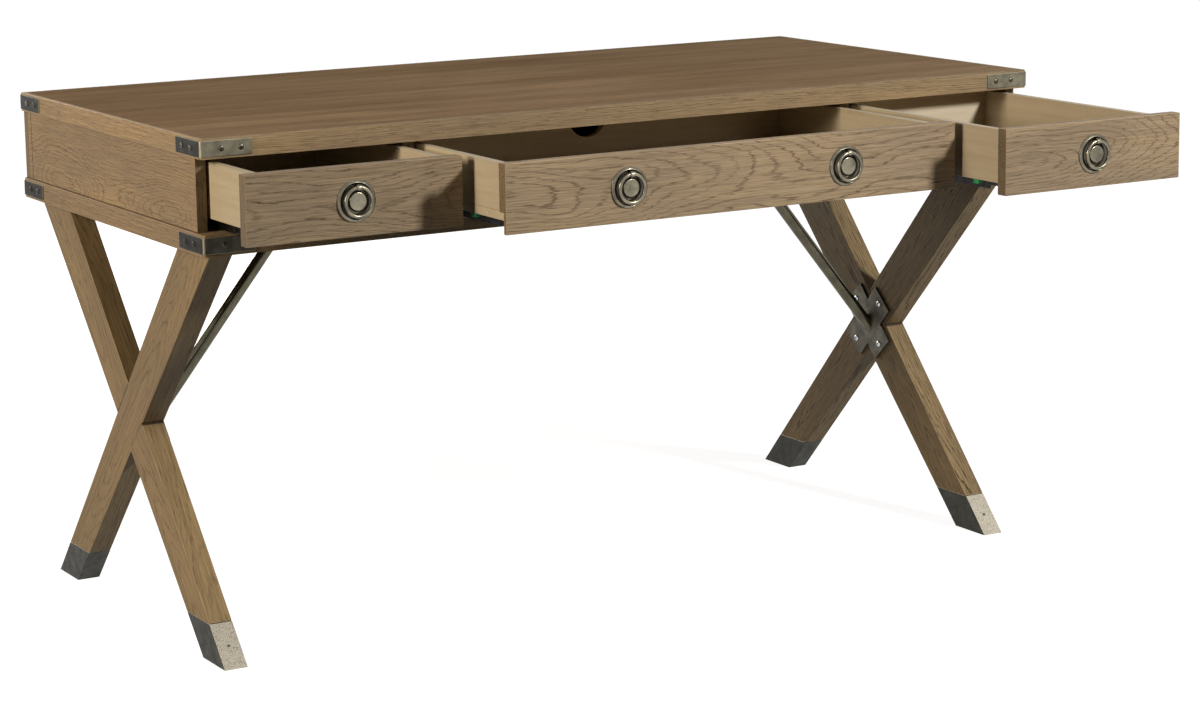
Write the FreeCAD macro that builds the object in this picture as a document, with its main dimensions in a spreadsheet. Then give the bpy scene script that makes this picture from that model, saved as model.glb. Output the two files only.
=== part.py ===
"""Writing desk on crossed legs, with three drawers of which the middle one has a drop front.

Lengths are in millimetres. The origin is on the floor under the middle of the top; X runs along
the desk, Y from its front to its back and Z up. The drawers stand partly open.
"""

import FreeCAD, Part
import os
import re
import Sketcher

SIZES = [
    # Top, base and case
    ("desk_length", 1420, "length of the top and of the base"),
    ("desk_depth", 698, "depth of the top and of the base"),
    ("desk_height", 762, "floor to the top's upper face"),
    ("top_thick", 28.5, "thickness of the top"),
    ("base_thick", 30.5, "thickness of the base"),
    ("drawer_opening", 104.5, "height between the base and the top"),
    ("band_width", 6, "width of the solid edge bands"),
    ("corner_round", 4, "radius of the top's and the base's upright corners"),
    ("wood_arris", 0.9, "rounding of the wood's edges"),
    ("case_inset", 3, "step from the top's edge in to the case's sides and back"),
    ("case_setback", 27, "step from the top's front edge back to the case's front edges"),
    ("side_thick", 16, "thickness of the side panels"),
    ("back_thick", 18, "thickness of the back panel"),
    ("divider_thick", 18, "thickness of the dividers"),
    ("divider_centre", 378, "middle of the desk to the middle of a divider"),
    # Corner brackets
    ("bracket_thick", 1.5, "thickness of the bracket plate"),
    ("bracket_tall", 23, "height of a bracket"),
    ("bracket_front_run", 78.5, "length of a bracket along the front or back edge"),
    ("bracket_side_run", 83.5, "length of a bracket along the side edge"),
    ("bracket_end_round", 4, "radius of the bracket's free corners"),
    ("bracket_screw_near", 32.5, "bracket's corner to its first screw"),
    ("bracket_screw_far", 62, "bracket's corner to its second screw"),
    ("bracket_head_radius", 4.2, "radius of a bracket screw's head"),
    ("bracket_head_tall", 1.9, "height of a bracket screw's head"),
    ("bracket_shank_radius", 2, "radius of a bracket screw's shank"),
    # Legs and foot caps
    ("leg_thick", 35.3, "thickness of a leg along the desk"),
    ("leg_inset", 19.2, "step from the top's end in to the legs' outer faces"),
    ("leg_top_far", 326.5, "middle to the far edge of a leg's top"),
    ("leg_top_near", 215.3, "middle to the near edge of a leg's top"),
    ("leg_foot_far", 323.5, "middle to the far edge of a leg's foot"),
    ("leg_foot_near", 245.4, "middle to the near edge of a leg's foot"),
    ("leg_arris", 1.2, "rounding of a leg's edges"),
    ("cap_tall", 55.6, "height of a foot cap"),
    ("cap_arris", 0.7, "rounding of a foot cap's edges"),
    ("cap_pin_radius", 2, "radius of the pin's head in a foot cap"),
    ("cap_pin_stand", 0.8, "height of the pin's head"),
    # Cross plates and brace rods
    ("cross_thick", 4, "thickness of a cross plate"),
    ("cross_arm_run", 60, "cross plate's middle to the end of an arm"),
    ("cross_arm_wide", 52, "width of a cross plate's arm"),
    ("cross_arris", 0.8, "rounding of a cross plate's edges"),
    ("cross_screw_run", 47, "cross plate's middle to a screw"),
    ("plate_head_radius", 5.2, "radius of a plate screw's head"),
    ("plate_head_tall", 2.6, "height of a plate screw's head"),
    ("plate_shank_radius", 2.4, "radius of a plate screw's shank"),
    ("rod_radius", 9.7, "radius of a brace rod"),
    ("rod_reach", 411, "middle of the desk to a rod's axis at the base"),
    ("rod_foot_drop", 5, "crossing's middle down to a rod's axis at the cross plate"),
    ("rod_plate_long", 84, "length of a rod's upper plate"),
    ("rod_plate_wide", 44, "width of a rod's upper plate"),
    ("rod_plate_thick", 4, "thickness of a rod's upper plate"),
    ("rod_plate_round", 6, "corner radius of a rod's upper plate"),
    ("rod_screw_run", 32, "middle of a rod's upper plate to a screw"),
    # Drawers
    ("front_thick", 19, "thickness of a drawer front"),
    ("front_gap_below", 3, "base to a drawer front"),
    ("front_gap_above", 4, "drawer front to the top"),
    ("front_split", 380.5, "middle of the desk to the middle of the gap between two fronts"),
    ("front_gap", 7, "gap between two drawer fronts"),
    ("front_stand", 0.5, "closed front's rear face to the case's front edges"),
    ("box_play", 5, "gap between a drawer box and the case beside it"),
    ("box_lift", 18, "base to the underside of a drawer box"),
    ("box_headroom", 7.5, "drawer box to the top"),
    ("box_depth", 405.5, "front's rear face to the back board"),
    ("box_side_thick", 12, "thickness of a drawer's side boards"),
    ("box_back_thick", 12, "thickness of a drawer's back board"),
    ("side_bottom_thick", 6, "thickness of a side drawer's bottom"),
    ("center_bottom_thick", 12.7, "thickness of the middle drawer's bottom"),
    ("box_arris", 0.8, "rounding of the drawer boards' edges"),
    ("notch_radius", 34, "radius of the cable notch in the middle drawer's back"),
    ("left_out", 153, "how far the left drawer stands open"),
    ("center_out", 263, "how far the middle drawer stands open"),
    ("right_out", 375, "how far the right drawer stands open"),
    # Drop front and its hinges
    ("lip_thick", 7, "thickness of the drop front's lip"),
    ("front_cut", 29.5, "height of the drop front's lip"),
    ("front_play", 0.5, "gap between the drop front and the drawer's boards"),
    ("hinge_offset", 3, "hinge axis to the bottom board and to the lip"),
    ("hinge_radius", 2.7, "radius of a hinge's knuckles"),
    ("hinge_pin_radius", 1.2, "radius of a hinge pin"),
    ("hinge_pin_play", 0.05, "play of the pin in the front's knuckle"),
    ("hinge_metal", 1.2, "thickness of a hinge leaf"),
    ("hinge_leaf_run", 22, "hinge axis to the end of the leaf under the bottom board"),
    ("hinge_drop_run", 10.5, "hinge axis to the end of the leaf behind the lip"),
    ("hinge_knuckle", 20, "length of a hinge knuckle"),
    ("hinge_end_play", 0.3, "gap between two knuckles"),
    ("hinge_leaf_play", 0.3, "gap between a leaf and the other leaf's knuckles"),
    ("hinge_centre", 250, "middle of the drawer to the middle of a hinge"),
    # Drawer slides and clips
    ("slide_metal", 1.5, "thickness of the slides' sheet metal"),
    ("slide_wide", 34, "width of a fixed channel"),
    ("slide_fixed_tall", 12, "height of a fixed channel"),
    ("slide_middle_tall", 11.1, "height of an intermediate channel"),
    ("slide_play", 0.4, "running gap between two channels"),
    ("slide_flange_wide", 32, "width of the moving channel's flange"),
    ("slide_inset", 30, "drawer box's side to the middle of its slide"),
    ("slide_front_gap", 4, "case's front edge to a fixed channel"),
    ("slide_box_gap", 50, "front's rear face to a moving channel"),
    ("slide_past", 4.5, "back board's front face to a moving channel's rear end"),
    ("clip_long", 12, "length of a locking clip"),
    ("clip_wide", 12.5, "width of a locking clip"),
    ("clip_tall", 6, "height of a locking clip"),
    ("left_clip_back", 215, "left drawer's front to its locking clips"),
    ("center_clip_back", 95, "middle drawer's front to its locking clips"),
    ("right_clip_back", 57, "right drawer's front to its locking clips"),
    ("clip_round", 3, "corner radius of a locking clip"),
    # Ring pulls
    ("pull_height", 49, "front's lower edge to the middle of a pull"),
    ("pull_centre", 182.5, "middle of the middle drawer to the middle of a pull"),
    ("pull_radius", 29, "radius of a back plate"),
    ("pull_edge", 1.6, "height of a back plate's edge"),
    ("pull_rim", 4, "height of a back plate's rim"),
    ("pull_bevel", 3, "width of the slope up to the rim"),
    ("pull_rim_wide", 1.6, "width of the rim"),
    ("pull_floor", 2.2, "thickness of the dished floor inside the rim"),
    ("pull_dish", 1.8, "width of the slope from the rim down to the floor"),
    ("button_radius", 13, "radius of the raised button"),
    ("button_tall", 7, "height of the raised button"),
    ("button_round", 1.5, "rounding of the button's edge"),
    ("post_rise", 19.5, "middle of a pull to its post's axis"),
    ("post_stand", 9, "front's face to the post's axis"),
    ("post_radius", 4.2, "radius of the post's head"),
    ("post_wide", 8, "width of the post"),
    ("post_neck", 5, "height of the post's neck"),
    ("ring_radius", 20, "radius of the ring at the middle of its wire"),
    ("ring_wire", 2.7, "radius of the ring's wire"),
    ("ring_end_gap", 0.3, "gap between the ring's ends and the post"),
    ("ring_pin_radius", 1.4, "radius of the ring's pins"),
    ("ring_pin_play", 0.06, "play of a pin in the post's bore"),
    ("ring_pin_gap", 0.8, "gap between the two pins inside the post"),
    # Overrun of the tools that cut
    ("overrun", 30, "how far a cutting shape runs past what it cuts"),
]

PLACES = [
    ("half_length", "desk_length / 2", "middle to the top's end"),
    ("half_depth", "desk_depth / 2", "middle to the top's front and back edge"),
    ("top_under", "desk_height - top_thick", "underside of the top"),
    ("base_top", "top_under - drawer_opening", "upper face of the base"),
    ("base_under", "base_top - base_thick", "underside of the base"),
    ("case_front", "case_setback - half_depth", "front edges of the case"),
    ("side_outer", "half_length - case_inset", "outer face of a side panel"),
    ("side_inner", "side_outer - side_thick", "inner face of a side panel"),
    ("back_outer", "half_depth - case_inset", "outer face of the back panel"),
    ("back_inner", "back_outer - back_thick", "inner face of the back panel"),
    ("divider_outer", "divider_centre + divider_thick / 2", "divider's face away from the middle"),
    ("divider_inner", "divider_centre - divider_thick / 2", "divider's face towards the middle"),
    ("leg_outer", "half_length - leg_inset", "outer face of the legs"),
    ("leg_inner", "leg_outer - leg_thick", "inner face of the legs"),
    ("leg_lap", "(leg_outer + leg_inner) / 2", "face where two legs are lapped"),
    ("leg_top_mid", "(leg_top_far + leg_top_near) / 2", "middle of a leg's top"),
    ("leg_foot_mid", "(leg_foot_far + leg_foot_near) / 2", "middle of a leg's foot"),
    ("leg_spread", "leg_top_mid + leg_foot_mid", "how far a leg leans over its height"),
    ("cross_height", "base_under * leg_foot_mid / leg_spread", "height of the crossing"),
    ("cap_share", "cap_tall / base_under", "foot cap's share of a leg's height"),
    ("cap_far", "leg_foot_far - (leg_foot_far + leg_top_near) * cap_share", "far edge over the cap"),
    ("cap_near", "leg_foot_near - (leg_foot_near + leg_top_far) * cap_share", "near edge over the cap"),
    ("cap_half_far", "(cap_far + leg_foot_far) / 2", "far edge at half the cap's height"),
    ("cross_tilt", "atan(leg_spread / base_under)", "a leg's angle from upright"),
    ("cross_inner", "leg_inner - cross_thick", "inner face of a cross plate"),
    ("rod_foot", "cross_height - rod_foot_drop", "height of a rod's axis at the cross plate"),
    ("rod_top", "base_under - rod_plate_thick", "underside of a rod's upper plate"),
    ("rod_run", "cross_inner - rod_reach", "how far a rod runs inwards"),
    ("rod_rise", "base_under - rod_foot", "how far a rod rises"),
    ("rod_tilt", "atan(rod_run / rod_rise)", "a rod's angle from upright"),
    ("front_inner_end", "front_split - front_gap / 2", "end of the middle drawer's front"),
    ("front_outer_end", "front_split + front_gap / 2", "inner end of a side drawer's front"),
    ("closed_rear", "case_front - front_stand", "rear face of a closed front"),
    ("left_rear", "closed_rear - left_out", "rear face of the left front"),
    ("center_rear", "closed_rear - center_out", "rear face of the middle front"),
    ("right_rear", "closed_rear - right_out", "rear face of the right front"),
    ("front_low", "base_top + front_gap_below", "lower edge of the fronts"),
    ("front_high", "top_under - front_gap_above", "upper edge of the fronts"),
    ("box_low", "base_top + box_lift", "underside of the drawer boxes"),
    ("box_high", "top_under - box_headroom", "upper edge of the drawer boxes"),
    ("center_floor", "box_low + center_bottom_thick", "middle drawer's floor"),
    ("lip_rear", "center_rear - front_thick + lip_thick", "rear face of the drop front's lip"),
    ("hinge_y", "lip_rear + hinge_offset", "drop front's axis, from front to back"),
    ("hinge_z", "box_low - hinge_offset", "drop front's axis, height"),
    ("slide_long", "box_depth - slide_box_gap + slide_past", "length of each slide channel"),
    ("slide_front", "case_front + slide_front_gap", "front end of the fixed channels"),
    ("middle_floor", "base_top + slide_metal + slide_play", "underside of an intermediate channel"),
    ("moving_floor", "middle_floor + slide_metal + slide_play", "lowest edge of a moving channel"),
    ("fixed_half", "slide_wide / 2", "half the width of a fixed channel"),
    ("middle_half", "fixed_half - slide_metal - slide_play", "half the width of a middle channel"),
    ("moving_half", "middle_half - slide_metal - slide_play", "half the width of a moving channel"),
    ("pull_z", "front_low + pull_height", "height of the pulls"),
]

NAMES = {row[0] for row in SIZES + PLACES}

# Each drawer's bay and front, from its left to its right end
DRAWERS = {
    "left": ("-side_inner", "-divider_outer", "-half_length", "-front_outer_end"),
    "center": ("-divider_inner", "divider_inner", "-front_inner_end", "front_inner_end"),
    "right": ("divider_outer", "side_inner", "front_outer_end", "half_length"),
}

X_AXIS = FreeCAD.Vector(1, 0, 0)
Y_AXIS = FreeCAD.Vector(0, 1, 0)
Z_AXIS = FreeCAD.Vector(0, 0, 1)

doc = FreeCAD.newDocument("WritingDesk")
sheet = doc.addObject("Spreadsheet::Sheet", "Sizes")
nodes = []


# Sizes and formulas

def fill_sheet():
    """Write the sizes as numbers and the places as formulas, one row each."""
    for row, (alias, content, meaning) in enumerate(SIZES + PLACES, 1):
        sheet.set(f"A{row}", meaning)
        sheet.set(f"B{row}", f"={content}" if isinstance(content, str) else str(content))
        sheet.setAlias(f"B{row}", alias)
    doc.recompute()


def value(formula):
    """The number that a formula in the sheet's names gives."""
    return float(sheet.evalExpression(formula))


def bind(thing, formulas):
    """Bind properties to formulas written in the sheet's names."""
    def linked(word):
        return f"Sizes.{word[0]}" if word[0] in NAMES else word[0]
    for prop, formula in formulas.items():
        thing.setExpression(prop, re.sub(r"[a-z]\w*", linked, formula))


def place(thing, x, y, z, axis=Z_AXIS, turn="0"):
    """Put an object's origin at three formulas, turned about an axis by a formula in degrees."""
    thing.Placement.Rotation = FreeCAD.Rotation(axis, value(turn))
    bind(thing, {"Placement.Base.x": x, "Placement.Base.y": y, "Placement.Base.z": z})
    return thing


def keep(thing, label):
    """Name an object as one of the desk's pieces."""
    thing.Label = label
    nodes.append(thing)
    return thing


# Solids

def block(name, x, y, z):
    """A box between pairs of formulas."""
    box = doc.addObject("Part::Box", name)
    for prop, (low, high) in {"Length": x, "Width": y, "Height": z}.items():
        bind(box, {prop: f"{high} - ({low})"})
    return place(box, x[0], y[0], z[0])


def rod(name, radius, length, x, y, z, axis=Z_AXIS, turn="0"):
    """A cylinder that starts at three formulas and runs along Z until it is turned."""
    cylinder = doc.addObject("Part::Cylinder", name)
    bind(cylinder, {"Radius": radius, "Height": length})
    return place(cylinder, x, y, z, axis, turn)


def rectangle(x, y):
    """The corners of a rectangle between pairs of formulas."""
    return [(x[0], y[0]), (x[1], y[0]), (x[1], y[1]), (x[0], y[1])]


def draw(body, name, plane, height):
    """An empty sketch on one of the body's origin planes, lifted along that plane's normal."""
    sketch = body.newObject("Sketcher::SketchObject", name)
    support = next(feature for feature in body.Origin.OriginFeatures if feature.Role == plane)
    sketch.AttachmentSupport = [(support, "")]
    sketch.MapMode = "FlatFace"
    bind(sketch, {"AttachmentOffset.Base.z": height})
    return sketch


def hold(sketch, kind, spot, formula):
    """Hold one coordinate or radius in a sketch to a formula."""
    place_in_sketch = () if kind == "Radius" else (-1, 1)
    index = sketch.addConstraint(Sketcher.Constraint(kind, *place_in_sketch, *spot, value(formula)))
    bind(sketch, {f"Constraints[{index}]": formula})


def outline(sketch, corners):
    """A closed outline of straight lines, each corner held to two formulas."""
    spots = [FreeCAD.Vector(value(u), value(v), 0) for u, v in corners]
    first = sketch.GeometryCount
    for index in range(len(corners)):
        after = (index + 1) % len(corners)
        sketch.addGeometry(Part.LineSegment(spots[index], spots[after]), False)
    for index, (u, v) in enumerate(corners):
        after = (index + 1) % len(corners)
        sketch.addConstraint(Sketcher.Constraint("Coincident", first + index, 2, first + after, 1))
        hold(sketch, "DistanceX", (first + index, 1), u)
        hold(sketch, "DistanceY", (first + index, 1), v)


def circle(sketch, u, v, radius):
    """A circle held to formulas."""
    spot = FreeCAD.Vector(value(u), value(v), 0)
    index = sketch.addGeometry(Part.Circle(spot, Z_AXIS, value(radius)), False)
    hold(sketch, "DistanceX", (index, 3), u)
    hold(sketch, "DistanceY", (index, 3), v)
    hold(sketch, "Radius", (index,), radius)


def pad(body, sketch, length):
    """Pad a sketch along its normal."""
    feature = body.newObject("PartDesign::Pad", f"{sketch.Name}_pad")
    feature.Profile = sketch
    bind(feature, {"Length": length})
    doc.recompute()
    return feature


def pocket(body, sketch, length):
    """Cut a sketch out of the body, against its normal."""
    feature = body.newObject("PartDesign::Pocket", f"{sketch.Name}_pocket")
    feature.Profile = sketch
    bind(feature, {"Length": length})
    doc.recompute()
    return feature


def prism(name, plane, corners, low, high):
    """A body with a straight-sided outline between two heights along a plane's normal."""
    body = doc.addObject("PartDesign::Body", name)
    sketch = draw(body, f"{name}_outline", plane, low)
    outline(sketch, corners)
    pad(body, sketch, f"{high} - ({low})")
    return body


def turned(name, corners):
    """A body of revolution about Z, from an outline in the XZ plane."""
    body = doc.addObject("PartDesign::Body", name)
    sketch = draw(body, f"{name}_outline", "XZ_Plane", "0")
    outline(sketch, corners)
    feature = body.newObject("PartDesign::Revolution", f"{name}_turned")
    feature.Profile = sketch
    feature.ReferenceAxis = (sketch, ["V_Axis"])
    doc.recompute()
    return body


def soften(body, radius, wanted=lambda edge: True):
    """Round those of a body's edges that a test picks."""
    base = body.Tip
    picked = [f"Edge{index}" for index, edge in enumerate(base.Shape.Edges, 1) if wanted(edge)]
    feature = body.newObject("PartDesign::Fillet", f"{base.Name}_round")
    feature.Base = (base, picked)
    bind(feature, {"Radius": radius})
    doc.recompute()
    return body


def parallel(edge, axis):
    """Whether an edge is straight and runs along an axis."""
    ends = [vertex.Point for vertex in edge.Vertexes]
    if len(ends) != 2:
        return False
    run = ends[1] - ends[0]
    return run.cross(axis).Length < run.Length / 1000


def upright(edge):
    """Whether an edge is straight and runs along Z."""
    return parallel(edge, Z_AXIS)


def board(name, x, y, z, arris="wood_arris"):
    """A board between pairs of formulas, with all its edges eased."""
    return soften(prism(name, "XY_Plane", rectangle(x, y), z[0], z[1]), arris)


def cut(name, base, tool):
    """One object less another."""
    result = doc.addObject("Part::Cut", name)
    result.Base = base
    result.Tool = tool
    return result


def fuse(name, pieces):
    """Several objects joined into one solid."""
    result = doc.addObject("Part::MultiFuse", name)
    result.Shapes = pieces
    result.Refine = True
    return result


def mirror(source, axis):
    """An object mirrored through the origin across an axis."""
    result = doc.addObject("Part::Mirroring", f"{source.Name}_mirror")
    result.Source = source
    result.Normal = axis
    return result


def copy(source, x, y, z, axis=Z_AXIS, turn="0"):
    """A linked copy of an object, placed by formulas."""
    link = doc.addObject("App::Link", f"{source.Name}_copy")
    link.LinkedObject = source
    return place(link, x, y, z, axis, turn)


def group(label, pieces):
    """Separate solids kept together as one piece's set."""
    result = doc.addObject("Part::Compound", label)
    result.Links = pieces
    return keep(result, label)


def four_corners(source):
    """An object at one corner, with its mirror images at the other three."""
    across = mirror(source, X_AXIS)
    return [source, across, mirror(source, Y_AXIS), mirror(across, Y_AXIS)]


# Top, base and case

def banded_panel(label, low, high):
    """A panel with solid bands let in flush round its four edges."""
    x_end = "(half_length - band_width)"
    y_end = "(half_depth - band_width)"
    panel = block(f"{label}_panel", (f"-{x_end}", x_end), (f"-{y_end}", y_end), (low, high))
    keep(panel, f"{label}_panel")
    outline_corners = rectangle(("-half_length", "half_length"), ("-half_depth", f"-{y_end}"))
    front = prism(f"{label}_front_band", "XY_Plane", outline_corners, low, high)
    band_rear = value(f"-{y_end}")
    soften(front, "corner_round", lambda edge: upright(edge) and edge.BoundBox.YMax < band_rear)
    end = block(f"{label}_end_band", (x_end, "half_length"), (f"-{y_end}", y_end), (low, high))
    group(f"{label}_edge_bands", [front, mirror(front, Y_AXIS), end, mirror(end, X_AXIS)])


def case():
    """Side panels, back panel and dividers between the base and the top."""
    height = ("base_top", "top_under")
    depth = ("case_front", "back_inner")
    right = board("side_panel", ("side_inner", "side_outer"), depth, height)
    keep(right, "side_panel_right")
    keep(mirror(right, X_AXIS), "side_panel_left")
    back = board("back_panel", ("-side_outer", "side_outer"), ("back_inner", "back_outer"), height)
    keep(back, "back_panel")
    divider = board("divider", ("divider_inner", "divider_outer"), depth, height)
    keep(divider, "divider_right")
    keep(mirror(divider, X_AXIS), "divider_left")


# Corner brackets and screws

def screw(name, head_radius, head_tall, shank_radius, shank_long):
    """A domed screw whose head rises from Z = 0 and whose shank fills the plate below."""
    body = doc.addObject("PartDesign::Body", name)
    shank = draw(body, f"{name}_shank", "XY_Plane", f"-({shank_long})")
    circle(shank, "0", "0", shank_radius)
    pad(body, shank, shank_long)
    head = draw(body, f"{name}_head", "XY_Plane", "0")
    circle(head, "0", "0", head_radius)
    pad(body, head, head_tall)
    top = value(head_tall)
    return soften(body, f"{head_tall} * 0.85", lambda edge: edge.BoundBox.ZMin > top / 2)


def bracket(low, shank_radius):
    """An angle round the front right corner, with two screw holes in each leg."""
    outer_x = "half_length + bracket_thick"
    outer_y = "-(half_depth + bracket_thick)"
    end_x = f"{outer_x} - bracket_front_run"
    end_y = f"{outer_y} + bracket_side_run"
    corners = [(end_x, outer_y), (outer_x, outer_y), (outer_x, end_y),
               ("half_length", end_y), ("half_length", "-half_depth"), (end_x, "-half_depth")]
    body = prism("bracket", "XY_Plane", corners, low, f"{low} + bracket_tall")
    face_x = value(f"{outer_x} - bracket_thick / 2")
    face_y = value(f"{outer_y} + bracket_thick / 2")

    def outer_corner(edge):
        return upright(edge) and edge.BoundBox.XMin > face_x and edge.BoundBox.YMax < face_y

    def inner_corner(edge):
        inside = value(f"{end_x} + bracket_thick") < edge.BoundBox.XMin < face_x
        return upright(edge) and inside and face_y < edge.BoundBox.YMin < value(f"{end_y} - bracket_thick")

    def free_corner(edge):
        front_end = parallel(edge, Y_AXIS) and edge.BoundBox.XMax < value(f"{end_x} + bracket_thick")
        side_end = parallel(edge, X_AXIS) and edge.BoundBox.YMin > value(f"{end_y} - bracket_thick")
        return front_end or side_end

    soften(body, "corner_round + bracket_thick", outer_corner)
    soften(body, "corner_round", inner_corner)
    soften(body, "bracket_end_round", free_corner)
    middle = f"{low} + bracket_tall / 2"
    front_holes = draw(body, "bracket_front_holes", "XZ_Plane", "half_depth + bracket_thick")
    side_holes = draw(body, "bracket_side_holes", "YZ_Plane", outer_x)
    for run in ("bracket_screw_near", "bracket_screw_far"):
        circle(front_holes, f"{outer_x} - {run}", middle, shank_radius)
        circle(side_holes, f"{outer_y} + {run}", middle, shank_radius)
    pocket(body, front_holes, "bracket_thick")
    pocket(body, side_holes, "bracket_thick")
    return body


def corner_brackets(label, under, thick):
    """Four brackets centred on the edges of a panel, and their screws."""
    low = f"{under} + ({thick} - bracket_tall) / 2"
    group(f"corner_brackets_{label}", four_corners(bracket(low, "bracket_shank_radius")))
    middle = f"{under} + {thick} / 2"
    sizes = ("bracket_head_radius", "bracket_head_tall", "bracket_shank_radius", "bracket_thick")
    source = screw("bracket_screw", *sizes)
    outer_x = "half_length + bracket_thick"
    outer_y = "half_depth + bracket_thick"
    screws = []
    for run in ("bracket_screw_near", "bracket_screw_far"):
        for side in ("", "-"):
            for face, turn in (("", "-90"), ("-", "90")):
                x = f"{side}({outer_x} - {run})"
                screws.append(copy(source, x, f"{face}({outer_y})", middle, X_AXIS, turn))
            for face, turn in (("", "90"), ("-", "-90")):
                y = f"{side}({outer_y} - {run})"
                screws.append(copy(source, f"{face}({outer_x})", y, middle, Y_AXIS, turn))
    group(f"bracket_screws_{label}", screws)


# Legs, foot caps, cross plates and brace rods

def leg_outline(lean):
    """Corners of a leg that leans towards the back (lean 1) or the front (lean -1) as it goes down."""
    top = [("-leg_top_far", "base_under"), ("-leg_top_near", "base_under")]
    foot = [("cap_far", "cap_tall"), ("cap_near", "cap_tall")]
    return [(f"{lean} * ({y})", z) for y, z in top + foot]


def leg(name, lean, lap_low, lap_high):
    """One right-hand leg, cut away over half its thickness where the other leg passes."""
    body = prism(name, "YZ_Plane", leg_outline(lean), "leg_inner", "leg_outer")
    soften(body, "leg_arris")
    lap = draw(body, f"{name}_lap", "YZ_Plane", lap_high)
    outline(lap, leg_outline(-lean))
    pocket(body, lap, f"{lap_high} - {lap_low}")
    return body


def legs():
    """Two crossed pairs of legs with their foot caps and the pins in them."""
    laps = {"a": (-1, "leg_lap", "leg_outer"), "b": (1, "leg_inner", "leg_lap")}
    for label, lap in laps.items():
        right = leg(f"leg_{label}", *lap)
        keep(right, f"leg_right_{label}")
        keep(mirror(right, X_AXIS), f"leg_left_{label}")
    sole = [("-leg_foot_far", "0"), ("-leg_foot_near", "0")]
    crown = [("-cap_near", "cap_tall"), ("-cap_far", "cap_tall")]
    cap = prism("foot_cap", "YZ_Plane", sole + crown, "leg_inner", "leg_outer")
    soften(cap, "cap_arris", lambda edge: edge.BoundBox.ZMax > value("cap_arris"))
    group("foot_caps", four_corners(cap))
    spot = ("leg_lap", "-cap_half_far", "cap_tall / 2")
    lean = "atan(base_under / (leg_foot_far + leg_top_near))"
    pin = rod("cap_pin", "cap_pin_radius", "cap_pin_stand", *spot, X_AXIS, lean)
    group("cap_pins", four_corners(pin))


def cross_plate():
    """A flat plate with an arm along each leg, on the inner faces of a crossing."""
    arms = []
    for side in ("1", "-1"):
        arm = doc.addObject("Part::Box", "cross_arm")
        bind(arm, {"Length": "cross_thick", "Width": "cross_arm_wide", "Height": "cross_arm_run * 2"})
        tilt = f"{side} * cross_tilt"
        y = f"cross_arm_run * sin({tilt}) - cross_arm_wide / 2 * cos({tilt})"
        z = f"cross_height - cross_arm_run * cos({tilt}) - cross_arm_wide / 2 * sin({tilt})"
        arms.append(place(arm, "cross_inner", y, z, X_AXIS, tilt))
    plate = fuse("cross_plate_blank", arms)
    start = "cross_inner - overrun"
    holes = [rod("cross_hole", "plate_shank_radius", "overrun * 2", start, y, z, Y_AXIS, "90")
             for y, z in cross_screw_places()]
    pierced = cut("cross_plate_pierced", plate, fuse("cross_holes", holes))
    doc.recompute()
    rounded = doc.addObject("Part::Fillet", "cross_plate_rounded")
    rounded.Base = pierced
    inner_half = value("cross_inner + cross_thick / 2")
    arris = value("cross_arris")
    rounded.Edges = [(index, arris, arris) for index, edge in enumerate(pierced.Shape.Edges, 1)
                     if len(edge.Vertexes) == 2 and edge.BoundBox.XMax < inner_half]
    return rounded


def cross_screw_places():
    """Where the four screws of a cross plate sit, as formulas for Y and Z."""
    lean = "cross_screw_run * sin(cross_tilt)"
    rise = "cross_screw_run * cos(cross_tilt)"
    signs = [(along, across) for along in (1, -1) for across in (1, -1)]
    return [(f"{along} * {lean}", f"cross_height + {across} * {rise}") for along, across in signs]


def brace_rod():
    """A rod from the cross plate up to its plate under the base, cut flat against both."""
    long = "sqrt(rod_run ^ 2 + rod_rise ^ 2) + overrun * 2"
    x = "cross_inner + overrun * sin(rod_tilt)"
    z = "rod_foot - overrun * cos(rod_tilt)"
    trimmed = doc.addObject("Part::Common", "brace_rod")
    trimmed.Base = rod("rod_stock", "rod_radius", long, x, "0", z, Y_AXIS, "-rod_tilt")
    trimmed.Tool = block("rod_room", ("0", "cross_inner"), ("-overrun", "overrun"), ("0", "rod_top"))
    return trimmed


def stretchers():
    """Cross plates and brace rods at both ends, with their plates and screws."""
    plate = cross_plate()
    keep(plate, "cross_plate_right")
    keep(mirror(plate, X_AXIS), "cross_plate_left")
    brace = brace_rod()
    keep(brace, "brace_rod_right")
    keep(mirror(brace, X_AXIS), "brace_rod_left")
    x = ("rod_reach - rod_plate_long / 2", "rod_reach + rod_plate_long / 2")
    y = ("-rod_plate_wide / 2", "rod_plate_wide / 2")
    upper = prism("rod_plate", "XY_Plane", rectangle(x, y), "rod_top", "base_under")
    soften(upper, "rod_plate_round", upright)
    holes = draw(upper, "rod_plate_holes", "XY_Plane", "base_under")
    for side in ("-", "+"):
        circle(holes, f"rod_reach {side} rod_screw_run", "0", "plate_shank_radius")
    pocket(upper, holes, "rod_plate_thick")
    group("rod_plates", [upper, mirror(upper, X_AXIS)])
    sizes = ("plate_head_radius", "plate_head_tall", "plate_shank_radius")
    cross_source = screw("cross_screw", *sizes, "cross_thick")
    rod_source = screw("rod_screw", *sizes, "rod_plate_thick")
    screws = []
    for end, turn in (("", "-90"), ("-", "90")):
        for y, z in cross_screw_places():
            screws.append(copy(cross_source, f"{end}cross_inner", y, z, Y_AXIS, turn))
        for side in ("-", "+"):
            x = f"{end}(rod_reach {side} rod_screw_run)"
            screws.append(copy(rod_source, x, "0", "rod_top", X_AXIS, "180"))
    group("plate_screws", screws)


# Drawer slides

def channel(name, half, low, tall, front, x):
    """A sheet metal channel, open upwards, round the line x."""
    high = f"{low} + {tall}"
    floor = f"{low} + slide_metal"
    right = [(half, low), (half, high), (f"({half} - slide_metal)", high), (f"({half} - slide_metal)", floor)]
    return slide_prism(name, right, front, x)


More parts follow.
